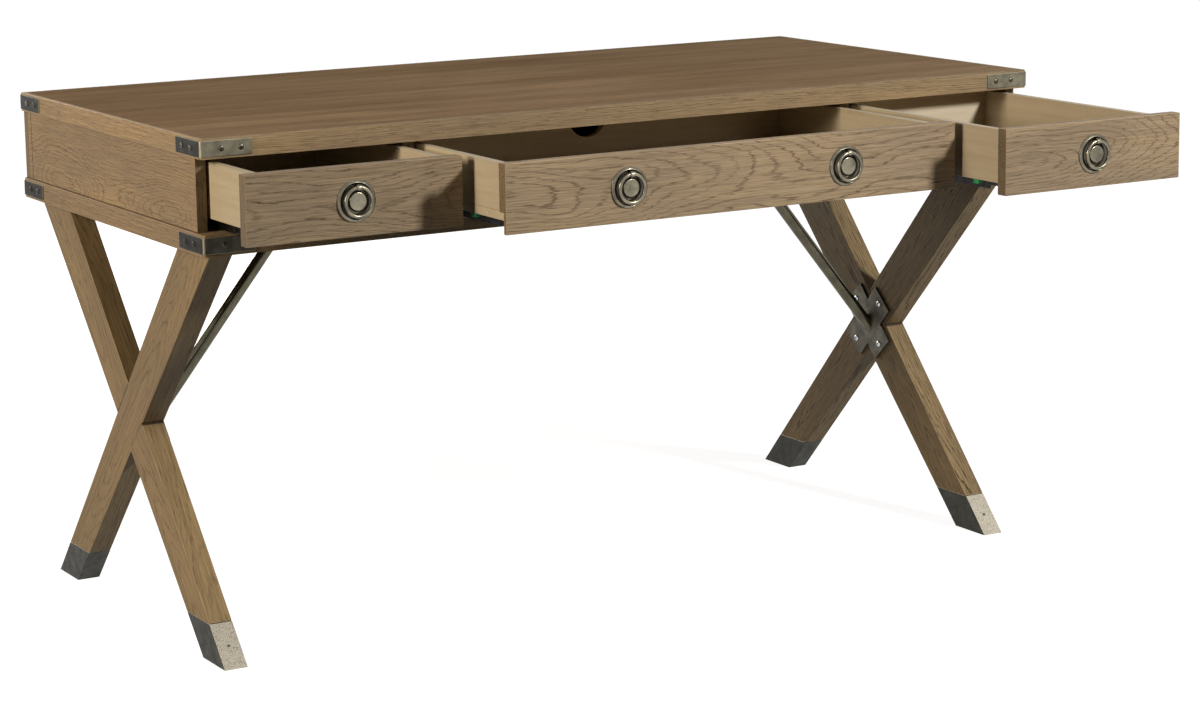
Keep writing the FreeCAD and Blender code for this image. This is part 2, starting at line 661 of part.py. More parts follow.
def moving_channel(name, front, x):
    """The channel under a drawer: a flange against the box and two walls that reach down."""
    under = "(box_low - slide_metal)"
    inner = "(moving_half - slide_metal)"
    right = [(inner, under), (inner, "moving_floor"), ("moving_half", "moving_floor"), ("moving_half", under),
             ("slide_flange_wide / 2", under), ("slide_flange_wide / 2", "box_low")]
    return slide_prism(name, right, front, x)


def slide_prism(name, right, front, x):
    """A slide channel from the right half of its section, which is mirrored about the line x."""
    corners = [(f"{x} + {across}", z) for across, z in right]
    corners += [(f"{x} - {across}", z) for across, z in reversed(right)]
    return prism(name, "XZ_Plane", corners, f"-({front} + slide_long)", f"-({front})")


def locking_clip(name, front, x):
    """A locking clip under a drawer box, beside its slide."""
    y = (f"({front})", f"{front} + clip_long")
    clip = prism(name, "XY_Plane", rectangle(x, y), "box_low - clip_tall", "box_low")
    return soften(clip, "clip_round", upright)


def slides():
    """Two slides of three channels under each drawer, and the clips that lock them to it."""
    fixed = []
    for side, (bay_left, bay_right, _, _) in DRAWERS.items():
        moving_front = f"({side}_rear + slide_box_gap)"
        middle_front = f"(slide_front + {moving_front}) / 2"
        middles = []
        movings = []
        for x in (f"({bay_left} + box_play + slide_inset)", f"({bay_right} - box_play - slide_inset)"):
            outside = ("fixed_half", "base_top", "slide_fixed_tall")
            inside = ("middle_half", "middle_floor", "slide_middle_tall")
            fixed.append(channel("fixed", *outside, "slide_front", x))
            middles.append(channel("middle", *inside, middle_front, x))
            movings.append(moving_channel("moving", moving_front, x))
        group(f"slide_middle_{side}", middles)
        group(f"slide_moving_{side}", movings)
        left = f"({bay_left} + box_play)"
        right = f"({bay_right} - box_play)"
        spans = ((left, f"{left} + clip_wide"), (f"{right} - clip_wide", right))
        clips = [locking_clip("clip", f"{side}_rear + {side}_clip_back", x) for x in spans]
        group(f"slide_clips_{side}", clips)
    group("slide_fixed", fixed)


# Drawers

def side_drawer(side, bay_left, bay_right, front_left, front_right):
    """A side drawer: its front, side boards, back board and bottom."""
    rear = f"{side}_rear"
    outer = (f"({bay_left} + box_play)", f"({bay_right} - box_play)")
    inner = (f"{outer[0]} + box_side_thick", f"{outer[1]} - box_side_thick")
    back = f"({rear} + box_depth)"
    end = f"{back} + box_back_thick"
    height = ("box_low", "box_high")
    depth = (f"{rear} - front_thick", rear)
    front = board(f"front_{side}", (front_left, front_right), depth, ("front_low", "front_high"))
    keep(front, f"drawer_front_{side}")
    spans = ((outer[0], inner[0]), (inner[1], outer[1]))
    group(f"drawer_sides_{side}", [board("side_board", x, (rear, end), height, "box_arris") for x in spans])
    keep(board(f"back_{side}", inner, (back, end), height, "box_arris"), f"drawer_back_{side}")
    bottom = block(f"bottom_{side}", inner, (rear, back), ("box_low", "box_low + side_bottom_thick"))
    keep(bottom, f"drawer_bottom_{side}")


def center_drawer(bay_left, bay_right, front_left, front_right):
    """The middle drawer, whose bottom board runs under its drop front to the lip."""
    outer = (f"({bay_left} + box_play)", f"({bay_right} - box_play)")
    inner = (f"{outer[0]} + box_side_thick", f"{outer[1]} - box_side_thick")
    back = "(center_rear + box_depth)"
    end = f"{back} + box_back_thick"
    face = "center_rear - front_thick"
    step = "front_low + front_cut"
    corners = [(face, "front_low"), ("lip_rear", "front_low"), ("lip_rear", step), ("center_rear", step),
               ("center_rear", "front_high"), (face, "front_high")]
    front = prism("front_center", "YZ_Plane", corners, front_left, front_right)
    keep(soften(front, "wood_arris"), "drawer_front_center")
    depth = ("center_rear + front_play", end)
    height = ("center_floor", "box_high")
    spans = ((outer[0], inner[0]), (inner[1], outer[1]))
    group("drawer_sides_center", [board("side_board", x, depth, height, "box_arris") for x in spans])
    notched = board("back_center", inner, (back, end), height, "box_arris")
    notch = draw(notched, "cable_notch", "XZ_Plane", "overrun - center_rear - box_depth")
    circle(notch, "0", "box_high", "notch_radius")
    pocket(notched, notch, "overrun * 2")
    keep(notched, "drawer_back_center")
    depth = ("lip_rear + front_play", end)
    bottom = board("bottom_center", outer, depth, ("box_low", "center_floor"), "box_arris")
    keep(bottom, "drawer_bottom_center")


def drawers():
    """The three drawers."""
    for side, spans in DRAWERS.items():
        if side == "center":
            center_drawer(*spans)
        else:
            side_drawer(side, *spans)


# Drop front hinges

def knuckle(name, span, radius):
    """A cylinder along the drop front's axis."""
    return rod(name, radius, f"{span[1]} - ({span[0]})", span[0], "hinge_y", "hinge_z", Y_AXIS, "90")


def pinned_leaf(whole, outers):
    """A leaf under the bottom board, with two knuckles and the pin."""
    z = ("hinge_z + hinge_offset - hinge_metal", "hinge_z + hinge_offset")
    pieces = [block("pinned_leaf", whole, (hinge_clear("hinge_y"), "hinge_y + hinge_leaf_run"), z),
              knuckle("pin", whole, "hinge_pin_radius")]
    for span in outers:
        pieces.append(knuckle("pinned_knuckle", span, "hinge_radius"))
        pieces.append(block("pinned_tongue", span, ("hinge_y", hinge_clear("hinge_y")), z))
    return fuse("pinned", pieces)


def dropping_leaf(whole, inner):
    """A leaf behind the lip, with one knuckle bored for the pin."""
    y = ("hinge_y - hinge_offset", "hinge_y - hinge_offset + hinge_metal")
    top = "hinge_z - hinge_radius - hinge_leaf_play"
    pieces = [block("dropping_leaf", whole, y, ("hinge_z - hinge_drop_run", top)),
              block("dropping_tongue", inner, y, (top, "hinge_z")),
              knuckle("dropping_knuckle", inner, "hinge_radius")]
    bore = knuckle("dropping_bore", whole, "hinge_pin_radius + hinge_pin_play")
    return cut("dropping", fuse("dropping_blank", pieces), bore)


def hinge_clear(start):
    """A place just past the knuckles, counted from the axis."""
    return f"{start} + hinge_radius + hinge_leaf_play"


def drop_hinges():
    """Two butt hinges: a pinned leaf under the bottom board and a leaf behind the lip."""
    half = "hinge_knuckle / 2"
    wing = f"({half} + hinge_end_play)"
    end = f"({wing} + hinge_knuckle)"
    pinned = []
    dropping = []
    for x in ("-hinge_centre", "hinge_centre"):
        whole = (f"{x} - {end}", f"{x} + {end}")
        pinned.append(pinned_leaf(whole, [(whole[0], f"{x} - {wing}"), (f"{x} + {wing}", whole[1])]))
        dropping.append(dropping_leaf(whole, (f"{x} - {half}", f"{x} + {half}")))
    group("drop_hinge_pinned_leaves", pinned)
    group("drop_hinge_front_leaves", dropping)


# Ring pulls, drawn lying down: Z is away from the drawer front and Y is up

def pull_plate():
    """A stepped round back plate with a rim, a dished floor and a raised button."""
    rim_foot = "pull_radius - pull_bevel"
    rim_inner = f"{rim_foot} - pull_rim_wide"
    edge = [("0", "0"), ("pull_radius", "0"), ("pull_radius", "pull_edge")]
    rim = [(rim_foot, "pull_rim"), (rim_inner, "pull_rim")]
    dish = [(f"{rim_inner} - pull_dish", "pull_floor"), ("button_radius", "pull_floor")]
    button = [("button_radius", "button_tall"), ("0", "button_tall")]
    body = turned("pull_plate", edge + rim + dish + button)
    above_rim = value("button_tall + pull_rim") / 2
    return soften(body, "button_round", lambda edge: edge.BoundBox.ZMin > above_rim)


def pull_post():
    """A post at the top of a back plate, bored along X for the ring's pins."""
    half = "post_wide / 2"
    axis = ("post_rise", "post_stand", Y_AXIS, "90")
    head = rod("post_head", "post_radius", "post_wide", f"-{half}", *axis)
    neck_y = ("post_rise - post_neck / 2", "post_rise + post_neck / 2")
    neck = block("post_neck", (f"-{half}", half), neck_y, ("pull_floor", "post_stand"))
    bore = rod("post_bore", "ring_pin_radius + ring_pin_play", "overrun * 2", "-overrun", *axis)
    return cut("pull_post", fuse("post_blank", [head, neck]), bore)


def pull_ring():
    """A round ring, open at the post, with a pin on each end."""
    hoop = doc.addObject("Part::Torus", "ring_hoop")
    bind(hoop, {"Radius1": "ring_radius", "Radius2": "ring_wire"})
    place(hoop, "0", "post_rise - ring_radius", "post_stand")
    half = "(post_wide / 2 + ring_end_gap)"
    y = ("post_rise - ring_wire * 2", "post_rise + ring_wire * 2")
    z = ("post_stand - ring_wire * 2", "post_stand + ring_wire * 2")
    gap = block("ring_gap", (f"-{half}", half), y, z)
    pieces = [cut("ring_open", hoop, gap)]
    for start in ("ring_pin_gap / 2", f"-({half} + ring_wire)"):
        long = f"{half} + ring_wire - ring_pin_gap / 2"
        spot = (start, "post_rise", "post_stand")
        pieces.append(rod("ring_pin", "ring_pin_radius", long, *spot, Y_AXIS, "90"))
    return fuse("pull_ring", pieces)


def pulls():
    """One pull on each side drawer and two on the middle one."""
    plate = pull_plate()
    post = pull_post()
    ring = pull_ring()
    side_middle = "(half_length + front_outer_end) / 2"
    pull_places = {"left": {"left": f"-{side_middle}"},
                   "center": {"center_left": "-pull_centre", "center_right": "pull_centre"},
                   "right": {"right": side_middle}}
    for side, spots in pull_places.items():
        rest = (f"{side}_rear - front_thick", "pull_z", X_AXIS, "90")
        group(f"pull_plate_{side}", [copy(plate, x, *rest) for x in spots.values()])
        group(f"pull_post_{side}", [copy(post, x, *rest) for x in spots.values()])
        for name, x in spots.items():
            group(f"pull_ring_{name}", [copy(ring, x, *rest)])


# Checks and files

def check():
    """Stop if any object failed, any shape is unsound or a pocket cut nothing."""
    doc.recompute()
    for thing in doc.Objects:
        if {"Invalid", "Error"} & set(thing.State):
            raise RuntimeError(f"{thing.Label}: {thing.State}")
        if thing.TypeId == "PartDesign::Pocket" and thing.Shape.Volume >= thing.BaseFeature.Shape.Volume:
            raise RuntimeError(f"{thing.Label} cut nothing")
    for thing in nodes:
        if thing.Shape.isNull() or not thing.Shape.isValid():
            raise RuntimeError(f"{thing.Label} has no sound shape")


def write():
    """Write each piece to its own file."""
    os.makedirs("parts", exist_ok=True)
    for thing in nodes:
        thing.Shape.exportStep(f"parts/{thing.Label}.step")
    print(len(nodes), "pieces,", sum(len(thing.Shape.Solids) for thing in nodes), "solids")


fill_sheet()
banded_panel("top", "top_under", "desk_height")
banded_panel("base", "base_under", "base_top")
case()
corner_brackets("top", "top_under", "top_thick")
corner_brackets("base", "base_under", "base_thick")
legs()
stretchers()
slides()
drawers()
drop_hinges()
pulls()
check()
write()
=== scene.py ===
"""Writing desk on crossed legs: its woods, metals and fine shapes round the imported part, in metres.

X runs along the desk, Y from its front to its back and Z up. The drawers stand partly open.
"""

import math

import bmesh
import bpy
from mathutils import Matrix, Vector


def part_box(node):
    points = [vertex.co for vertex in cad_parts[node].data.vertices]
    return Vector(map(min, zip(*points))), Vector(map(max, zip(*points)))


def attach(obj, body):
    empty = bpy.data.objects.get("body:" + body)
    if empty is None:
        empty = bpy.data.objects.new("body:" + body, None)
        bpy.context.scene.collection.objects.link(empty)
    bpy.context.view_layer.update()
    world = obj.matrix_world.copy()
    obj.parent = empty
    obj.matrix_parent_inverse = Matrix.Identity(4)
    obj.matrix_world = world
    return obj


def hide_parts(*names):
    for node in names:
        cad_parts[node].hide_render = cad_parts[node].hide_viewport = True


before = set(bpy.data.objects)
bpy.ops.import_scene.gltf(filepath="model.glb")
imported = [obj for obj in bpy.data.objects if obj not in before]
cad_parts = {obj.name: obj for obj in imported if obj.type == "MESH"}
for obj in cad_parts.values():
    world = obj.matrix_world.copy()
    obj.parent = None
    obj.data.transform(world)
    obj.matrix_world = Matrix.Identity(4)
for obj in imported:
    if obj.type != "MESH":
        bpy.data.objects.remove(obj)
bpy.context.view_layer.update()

MM = 0.001
X = Vector((1, 0, 0))
Y = Vector((0, 1, 0))
Z = Vector((0, 0, 1))

# The top and the base without their brackets, as packed
HALF_LONG, HALF_DEEP = 0.710, 0.349
TOP_LOW, TOP_HIGH = 0.7335, 0.762
BASE_LOW, BASE_HIGH = 0.5985, 0.629

# A pull's middle over the floor in metres, and its post's axis over that middle and off the front in
# millimetres
PULL_HEIGHT = 0.681
POST_RISE, POST_STAND = 19.5, 9.0

# The corner brackets' plate
BRACKET_THICK = 1.5 * MM

# Screw heads: radius, height and depth of the cross recess, in millimetres
BRACKET_SCREW = {"radius": 4.2, "tall": 1.7, "recess": 0.7}
PLATE_SCREW = {"radius": 5.2, "tall": 2.6, "recess": 1.3}

# Colours that more than one piece shows where it is worn, pitted or dirty, and where it has painted
# highlights and shade
RUBBED_AND_HIGHLIT_OAK, JOINT_GLAZE_AND_SHADE = "#B49C78", "#2A1F15"
PIT_DARK, BARED_AND_HIGHLIT_METAL, GROOVE_PATINA = "#2B2925", "#A39C88", "#1F1D1A"


# Camera: where it stands, how it is turned in degrees, and its lens in millimetres

CAMERA_PLACE = (-2.3506, -4.2094, 1.3007)
CAMERA_YAW, CAMERA_PITCH, CAMERA_ROLL = 30.444, -10.514, -0.818
CAMERA_SENSOR, CAMERA_LENS, CAMERA_SHIFT = 36, 92.357, -0.05


def set_camera():
    """The photograph's viewpoint, from the desk's front left and a little above it."""
    yaw, pitch, roll = (math.radians(turn) for turn in (CAMERA_YAW, CAMERA_PITCH, CAMERA_ROLL))
    ahead = Vector((math.sin(yaw) * math.cos(pitch), math.cos(yaw) * math.cos(pitch), math.sin(pitch)))
    level = Vector((math.cos(yaw), -math.sin(yaw), 0))
    upright = level.cross(ahead)
    right = math.cos(roll) * level + math.sin(roll) * upright
    up = math.cos(roll) * upright - math.sin(roll) * level
    data = bpy.data.cameras.new("camera")
    data.sensor_width = CAMERA_SENSOR
    data.lens = CAMERA_LENS
    data.shift_y = CAMERA_SHIFT
    camera = bpy.data.objects.new("camera", data)
    facing = Matrix((right, up, -ahead)).transposed().to_4x4()
    camera.matrix_world = Matrix.Translation(CAMERA_PLACE) @ facing
    bpy.context.scene.collection.objects.link(camera)
    bpy.context.scene.camera = camera


# Colours and shader nodes

def colour(hexed):
    """An sRGB hex value as linear RGBA."""
    parts = [int(hexed[i:i + 2], 16) / 255 for i in (1, 3, 5)]
    return tuple(p / 12.92 if p <= 0.04045 else ((p + 0.055) / 1.055) ** 2.4 for p in parts) + (1,)


def add(tree, kind, sockets=None, **settings):
    """One shader node with its settings, and its sockets' values or links by name or number."""
    made = tree.nodes.new("ShaderNode" + kind)
    for name, setting in settings.items():
        setattr(made, name, setting)
    for name, value in (sockets or {}).items():
        if isinstance(value, bpy.types.NodeSocket):
            tree.links.new(value, made.inputs[name])
        else:
            made.inputs[name].default_value = value
    return made


def new_material(name):
    """An empty material and its node tree."""
    material = bpy.data.materials.new(name)
    material.use_nodes = True
    material.node_tree.nodes.clear()
    return material, material.node_tree


# Woods

def grain_frame(along, face, origin):
    """Turn and shift that carry a point to a board's own frame: along the grain, across it and into it."""
    along, face = along.normalized(), face.normalized()
    turn = Matrix((along, face.cross(along), face))
    return {"Rotation": turn.to_euler(), "Location": -(turn @ origin)}


def oak(name, along, face, origin, seed=0.0, centre=0.0, pith=0.035, swell=0.020, wave=0.55, phase=0.0,
        ring=0.0038, lines=0.9, sway=1.0, ground="#A38B66", wash="#8D7A5E", dark="#544232", edge=None,
        edge_tone=1.0, tone=1.0, gloss=0.22, broad=0.05, seams=()):
    """Brushed and grey-washed white oak, flat sawn: year rings cut by the face draw long pointed arches,
    their open pores hold the darker wash in short dashes, and the lacquer over it is nearly dull.

    The rings are cylinders round a wavering pith line, at pith under the face, ring apart. Where edge is
    given, the surfaces that face along its second vector follow its first as their grain. Broad is how much
    the wash is lighter and darker in streaks some 40 mm wide. Seams are dark lines of glaze and of painted
    contact shade where the board meets another: an axis of its frame, a distance from its middle and half
    the line's length."""
    material, tree = new_material(name)
    spot = add(tree, "TexCoord")
    turned = grain_frame(along, face, origin)
    board = add(tree, "Mapping", {"Vector": spot.outputs["Object"], **turned})
    place = board.outputs[0]
    lit = None
    if edge:
        edge_board = add(tree, "Mapping", {"Vector": spot.outputs["Object"], **grain_frame(*edge, origin)})
        facing = add(tree, "VectorMath", {0: spot.outputs["Normal"], 1: edge[1]}, operation="DOT_PRODUCT")
        lit = add(tree, "Math", {0: facing.outputs["Value"], 1: 0.75}, operation="GREATER_THAN").outputs[0]
        place = add(tree, "Mix", {0: lit, 4: place, 5: edge_board.outputs[0]},
                    data_type="VECTOR").outputs[1]
    axes = add(tree, "SeparateXYZ", {0: place}).outputs

    # The pith wavers over some 0.4 m along the board and 0.12 m across it
    slow_place = add(tree, "Mapping", {"Vector": place, "Scale": (2.6, 8, 8),
                                       "Location": (seed, seed * 1.7, 0)})
    slow = add(tree, "TexNoise", {"Vector": slow_place.outputs[0], "Scale": 1.0, "Detail": 2.0})
    drift = add(tree, "SeparateColor", {0: slow.outputs["Color"]}).outputs
    aside = add(tree, "Math", {0: drift[0], 1: 0.10 * sway, 2: -0.05 * sway - centre},
                operation="MULTIPLY_ADD")
    across = add(tree, "Math", {0: axes[1], 1: aside.outputs[0]}, operation="ADD")
    turn = add(tree, "Math", {0: axes[0], 1: 2 * math.pi / wave, 2: phase}, operation="MULTIPLY_ADD")
    rise = add(tree, "Math", {0: turn.outputs[0]}, operation="SINE")
    depth = add(tree, "Math", {0: rise.outputs[0], 1: swell, 2: axes[2]}, operation="MULTIPLY_ADD")
    deep = add(tree, "Math", {0: drift[1], 1: 0.07 * sway, 2: pith - 0.035 * sway}, operation="MULTIPLY_ADD")
    under = add(tree, "Math", {0: depth.outputs[0], 1: deep.outputs[0]}, operation="ADD")
    spoke = add(tree, "CombineXYZ", {0: across.outputs[0], 1: under.outputs[0]})
    radius = add(tree, "VectorMath", {0: spoke.outputs[0]}, operation="LENGTH")

    # The rings' edges are ragged by up to 2.5 mm, over 40 mm along the board and 3 mm across it
    rag_place = add(tree, "Mapping", {"Vector": place, "Scale": (24, 300, 300), "Location": (seed, 0, seed)})
    rag = add(tree, "TexNoise", {"Vector": rag_place.outputs[0], "Scale": 1.0, "Detail": 3.0,
                                 "Roughness": 0.6})
    ragged = add(tree, "Math", {0: rag.outputs[0], 1: 0.0050, 2: radius.outputs["Value"]},
                 operation="MULTIPLY_ADD")
    rings = add(tree, "Math", {0: ragged.outputs[0], 1: 1 / ring}, operation="MULTIPLY")
    through = add(tree, "Math", {0: rings.outputs[0]}, operation="FRACT")
    year = add(tree, "Math", {0: rings.outputs[0]}, operation="FLOOR")
    strength = add(tree, "TexWhiteNoise", {"W": year.outputs[0]}, noise_dimensions="1D")
    early = add(tree, "MapRange", {0: through.outputs[0], 1: 0.03, 2: 0.20, 3: 1.0, 4: 0.0},
                interpolation_type="SMOOTHSTEP")
    late = add(tree, "MapRange", {0: through.outputs[0], 1: 0.88, 2: 1.0, 3: 0.0, 4: 1.0})
    line = add(tree, "Math", {0: early.outputs[0], 1: late.outputs[0]}, operation="MAXIMUM")
    strong = add(tree, "MapRange", {0: strength.outputs["Value"], 1: 0.0, 2: 1.0, 3: 0.35, 4: 1.0})
    year_line = add(tree, "Math", {0: line.outputs[0], 1: strong.outputs[0]}, operation="MULTIPLY")

    # Pores are 0.3 mm wide, drawn about 1 mm wide and 35 mm long so that they show
    pore_place = add(tree, "Mapping", {"Vector": place, "Scale": (30, 850, 850), "Location": (0, seed, 0)})
    pores = add(tree, "TexNoise", {"Vector": pore_place.outputs[0], "Scale": 1.0, "Detail": 2.0})
    open_pores = add(tree, "MapRange", {0: pores.outputs[0], 1: 0.34, 2: 0.54, 3: 0.25, 4: 1.0})
    inked = add(tree, "Math", {0: year_line.outputs[0], 1: open_pores.outputs[0]}, operation="MULTIPLY")
    fine = add(tree, "MapRange", {0: pores.outputs[0], 1: 0.50, 2: 0.68, 3: 0.0, 4: 0.42})
    marks = add(tree, "Math", {0: inked.outputs[0], 1: fine.outputs[0]}, operation="MAXIMUM")
    ink = add(tree, "Math", {0: marks.outputs[0], 1: lines}, operation="MULTIPLY", use_clamp=True)

    # The wash lies in clouds, in streaks 8 mm wide and 200 mm long, and in combed lines 2 mm apart that run
    # between the pores. Broad streaks are 40 mm wide and 0.7 m long
    streak_place = add(tree, "Mapping", {"Vector": place, "Scale": (5, 130, 130), "Location": (0, 0, seed)})
    streaks = add(tree, "TexNoise", {"Vector": streak_place.outputs[0], "Scale": 1.0, "Detail": 4.0,
                                     "Roughness": 0.7})
    comb_place = add(tree, "Mapping", {"Vector": place, "Scale": (9, 480, 480), "Location": (seed, 0, 0)})
    combed = add(tree, "TexNoise", {"Vector": comb_place.outputs[0], "Scale": 1.0, "Detail": 1.0})
    cloud = add(tree, "MapRange", {0: drift[2], 1: 0.35, 2: 0.65, 3: 0.0, 4: 0.7})
    streaky = add(tree, "MapRange", {0: streaks.outputs[0], 1: 0.35, 2: 0.65, 3: 0.0, 4: 0.6})
    washed = add(tree, "Math", {0: cloud.outputs[0], 1: streaky.outputs[0]}, operation="ADD", use_clamp=True)
    ground_colour = add(tree, "Mix", {0: washed.outputs[0], 6: colour(ground), 7: colour(wash)},
                        data_type="RGBA")
    stained = add(tree, "Mix", {0: ink.outputs[0], 6: ground_colour.outputs[2], 7: colour(dark)},
                  data_type="RGBA").outputs[2]
    bright = add(tree, "MapRange", {0: streaks.outputs[0], 1: 0.25, 2: 0.75, 3: 0.91 * tone, 4: 1.09 * tone})
    comb_level = add(tree, "MapRange", {0: combed.outputs[0], 1: 0.3, 2: 0.7, 3: 0.82, 4: 1.18})
    broad_place = add(tree, "Mapping", {"Vector": place, "Scale": (1.4, 24, 24), "Location": (seed, seed, 0)})
    broad_noise = add(tree, "TexNoise", {"Vector": broad_place.outputs[0], "Scale": 1.0, "Detail": 2.0})
    broad_level = add(tree, "MapRange", {0: broad_noise.outputs[0], 1: 0.32, 2: 0.68, 3: 1 - broad,
                                         4: 1 + broad})
    level = bright.outputs[0]
    for other in (comb_level, broad_level):
        level = add(tree, "Math", {0: level, 1: other.outputs[0]}, operation="MULTIPLY").outputs[0]
    if edge:
        level = add(tree, "Mix", {0: lit, 2: level, 3: tone * edge_tone}, data_type="FLOAT").outputs[0]

    # Arrises are rubbed through to paler wood, which also serves as a painted highlight, and shine a little
    own_normal = add(tree, "Mapping", {"Vector": spot.outputs["Normal"], "Rotation": turned["Rotation"]},
                     vector_type="VECTOR")
    slopes = add(tree, "VectorMath", {0: own_normal.outputs[0]}, operation="ABSOLUTE")
    slope = add(tree, "SeparateXYZ", {0: slopes.outputs[0]}).outputs
    most = add(tree, "Math", {0: slope[0], 1: slope[1]}, operation="MAXIMUM")
    most = add(tree, "Math", {0: most.outputs[0], 1: slope[2]}, operation="MAXIMUM")
    rubbed_and_highlit = add(tree, "MapRange", {0: most.outputs[0], 1: 0.80, 2: 0.96, 3: 1.0, 4: 0.0}).outputs[0]
    stained = add(tree, "Mix", {0: rubbed_and_highlit, 6: stained, 7: colour(RUBBED_AND_HIGHLIT_OAK)}, data_type="RGBA").outputs[2]

    # End grain drinks more stain
    drunk = add(tree, "MapRange", {0: slope[0], 1: 0.75, 2: 0.97, 3: 1.0, 4: 0.68})
    level = add(tree, "Math", {0: level, 1: drunk.outputs[0]}, operation="MULTIPLY").outputs[0]

    # Dark glaze and painted contact shade lie in the joints, drawn about 3 mm wide so that they show
    for axis, reach, half_line in seams:
        offset = add(tree, "Math", {0: axes[axis], 1: reach}, operation="SUBTRACT")
        near = add(tree, "Math", {0: offset.outputs[0]}, operation="ABSOLUTE")
        in_joint = add(tree, "MapRange", {0: near.outputs[0], 1: 0.7 * MM, 2: 1.8 * MM, 3: 0.85, 4: 0.0})
        from_middle = add(tree, "Math", {0: axes[1 - axis]}, operation="ABSOLUTE")
        beside = add(tree, "Math", {0: from_middle.outputs[0], 1: half_line}, operation="LESS_THAN")
        glazed_and_shaded = add(tree, "Math", {0: in_joint.outputs[0], 1: beside.outputs[0]}, operation="MULTIPLY")
        stained = add(tree, "Mix", {0: glazed_and_shaded.outputs[0], 6: stained, 7: colour(JOINT_GLAZE_AND_SHADE)},
                      data_type="RGBA").outputs[2]
    shade = add(tree, "VectorMath", {0: stained, "Scale": level}, operation="SCALE")

    relief = add(tree, "Math", {0: ink.outputs[0], 1: -1.0}, operation="MULTIPLY")
    bump = add(tree, "Bump", {"Height": relief.outputs[0], "Strength": 0.25, "Distance": 0.3 * MM})
    dull = add(tree, "MapRange", {0: ink.outputs[0], 1: 0.0, 2: 1.0, 3: 0.56, 4: 0.74})
    sheen = add(tree, "Mix", {0: rubbed_and_highlit, 2: dull.outputs[0], 3: 0.42}, data_type="FLOAT")
    surface = add(tree, "BsdfPrincipled", {"Base Color": shade.outputs[0], "Roughness": sheen.outputs[0],
                                           "Normal": bump.outputs[0], "Specular IOR Level": gloss})
    add(tree, "OutputMaterial", {"Surface": surface.outputs[0]})
    return material


def birch(name, along, face, origin, seed=0.0, ground="#C5BBA6", vein="#B8AC96", stain=None):
    """Sanded and clear-lacquered birch boards: pale, close-grained, with faint long veins and a soft sheen.

    Stain is the darker ground and vein of a bottom board's upper and lower faces. Its edges stay pale."""
    material, tree = new_material(name)
    spot = add(tree, "TexCoord")
    board = add(tree, "Mapping", {"Vector": spot.outputs["Object"], **grain_frame(along, face, origin)})

    # Veins are 9 mm wide and 170 mm long, and flecks, drawn coarser than real ones, 1 mm wide and 11 mm long
    veins_place = add(tree, "Mapping", {"Vector": board.outputs[0], "Scale": (6, 110, 110),
                                        "Location": (seed, 0, 0)})
    veins = add(tree, "TexNoise", {"Vector": veins_place.outputs[0], "Scale": 1.0, "Detail": 4.0,
                                   "Roughness": 0.6})
    fleck_place = add(tree, "Mapping", {"Vector": board.outputs[0], "Scale": (90, 800, 800)})
    flecks = add(tree, "TexNoise", {"Vector": fleck_place.outputs[0], "Scale": 1.0, "Detail": 1.0})
    veined = add(tree, "MapRange", {0: veins.outputs[0], 1: 0.4, 2: 0.75, 3: 0.0, 4: 0.9})
    flecked = add(tree, "MapRange", {0: flecks.outputs[0], 1: 0.55, 2: 0.75, 3: 0.0, 4: 0.35})
    both = add(tree, "Math", {0: veined.outputs[0], 1: flecked.outputs[0]}, operation="ADD", use_clamp=True)
    base = add(tree, "Mix", {0: both.outputs[0], 6: colour(ground), 7: colour(vein)}, data_type="RGBA")
    colour_out = base.outputs[2]
    if stain:
        upright = add(tree, "SeparateXYZ", {0: spot.outputs["Normal"]}).outputs[2]
        level = add(tree, "Math", {0: upright}, operation="ABSOLUTE")
        flat = add(tree, "Math", {0: level.outputs[0], 1: 0.7}, operation="GREATER_THAN")
        stained = add(tree, "Mix", {0: both.outputs[0], 6: colour(stain[0]), 7: colour(stain[1])},
                      data_type="RGBA")
        colour_out = add(tree, "Mix", {0: flat.outputs[0], 6: colour_out, 7: stained.outputs[2]},
                         data_type="RGBA").outputs[2]
    bump = add(tree, "Bump", {"Height": flecks.outputs[0], "Strength": 0.1, "Distance": 0.1 * MM})
    rough = add(tree, "MapRange", {0: veins.outputs[0], 1: 0.3, 2: 0.7, 3: 0.44, 4: 0.54})
    surface = add(tree, "BsdfPrincipled", {"Base Color": colour_out, "Roughness": rough.outputs[0],
                                           "Normal": bump.outputs[0], "Specular IOR Level": 0.08})
    add(tree, "OutputMaterial", {"Surface": surface.outputs[0]})
    return material


# Metals

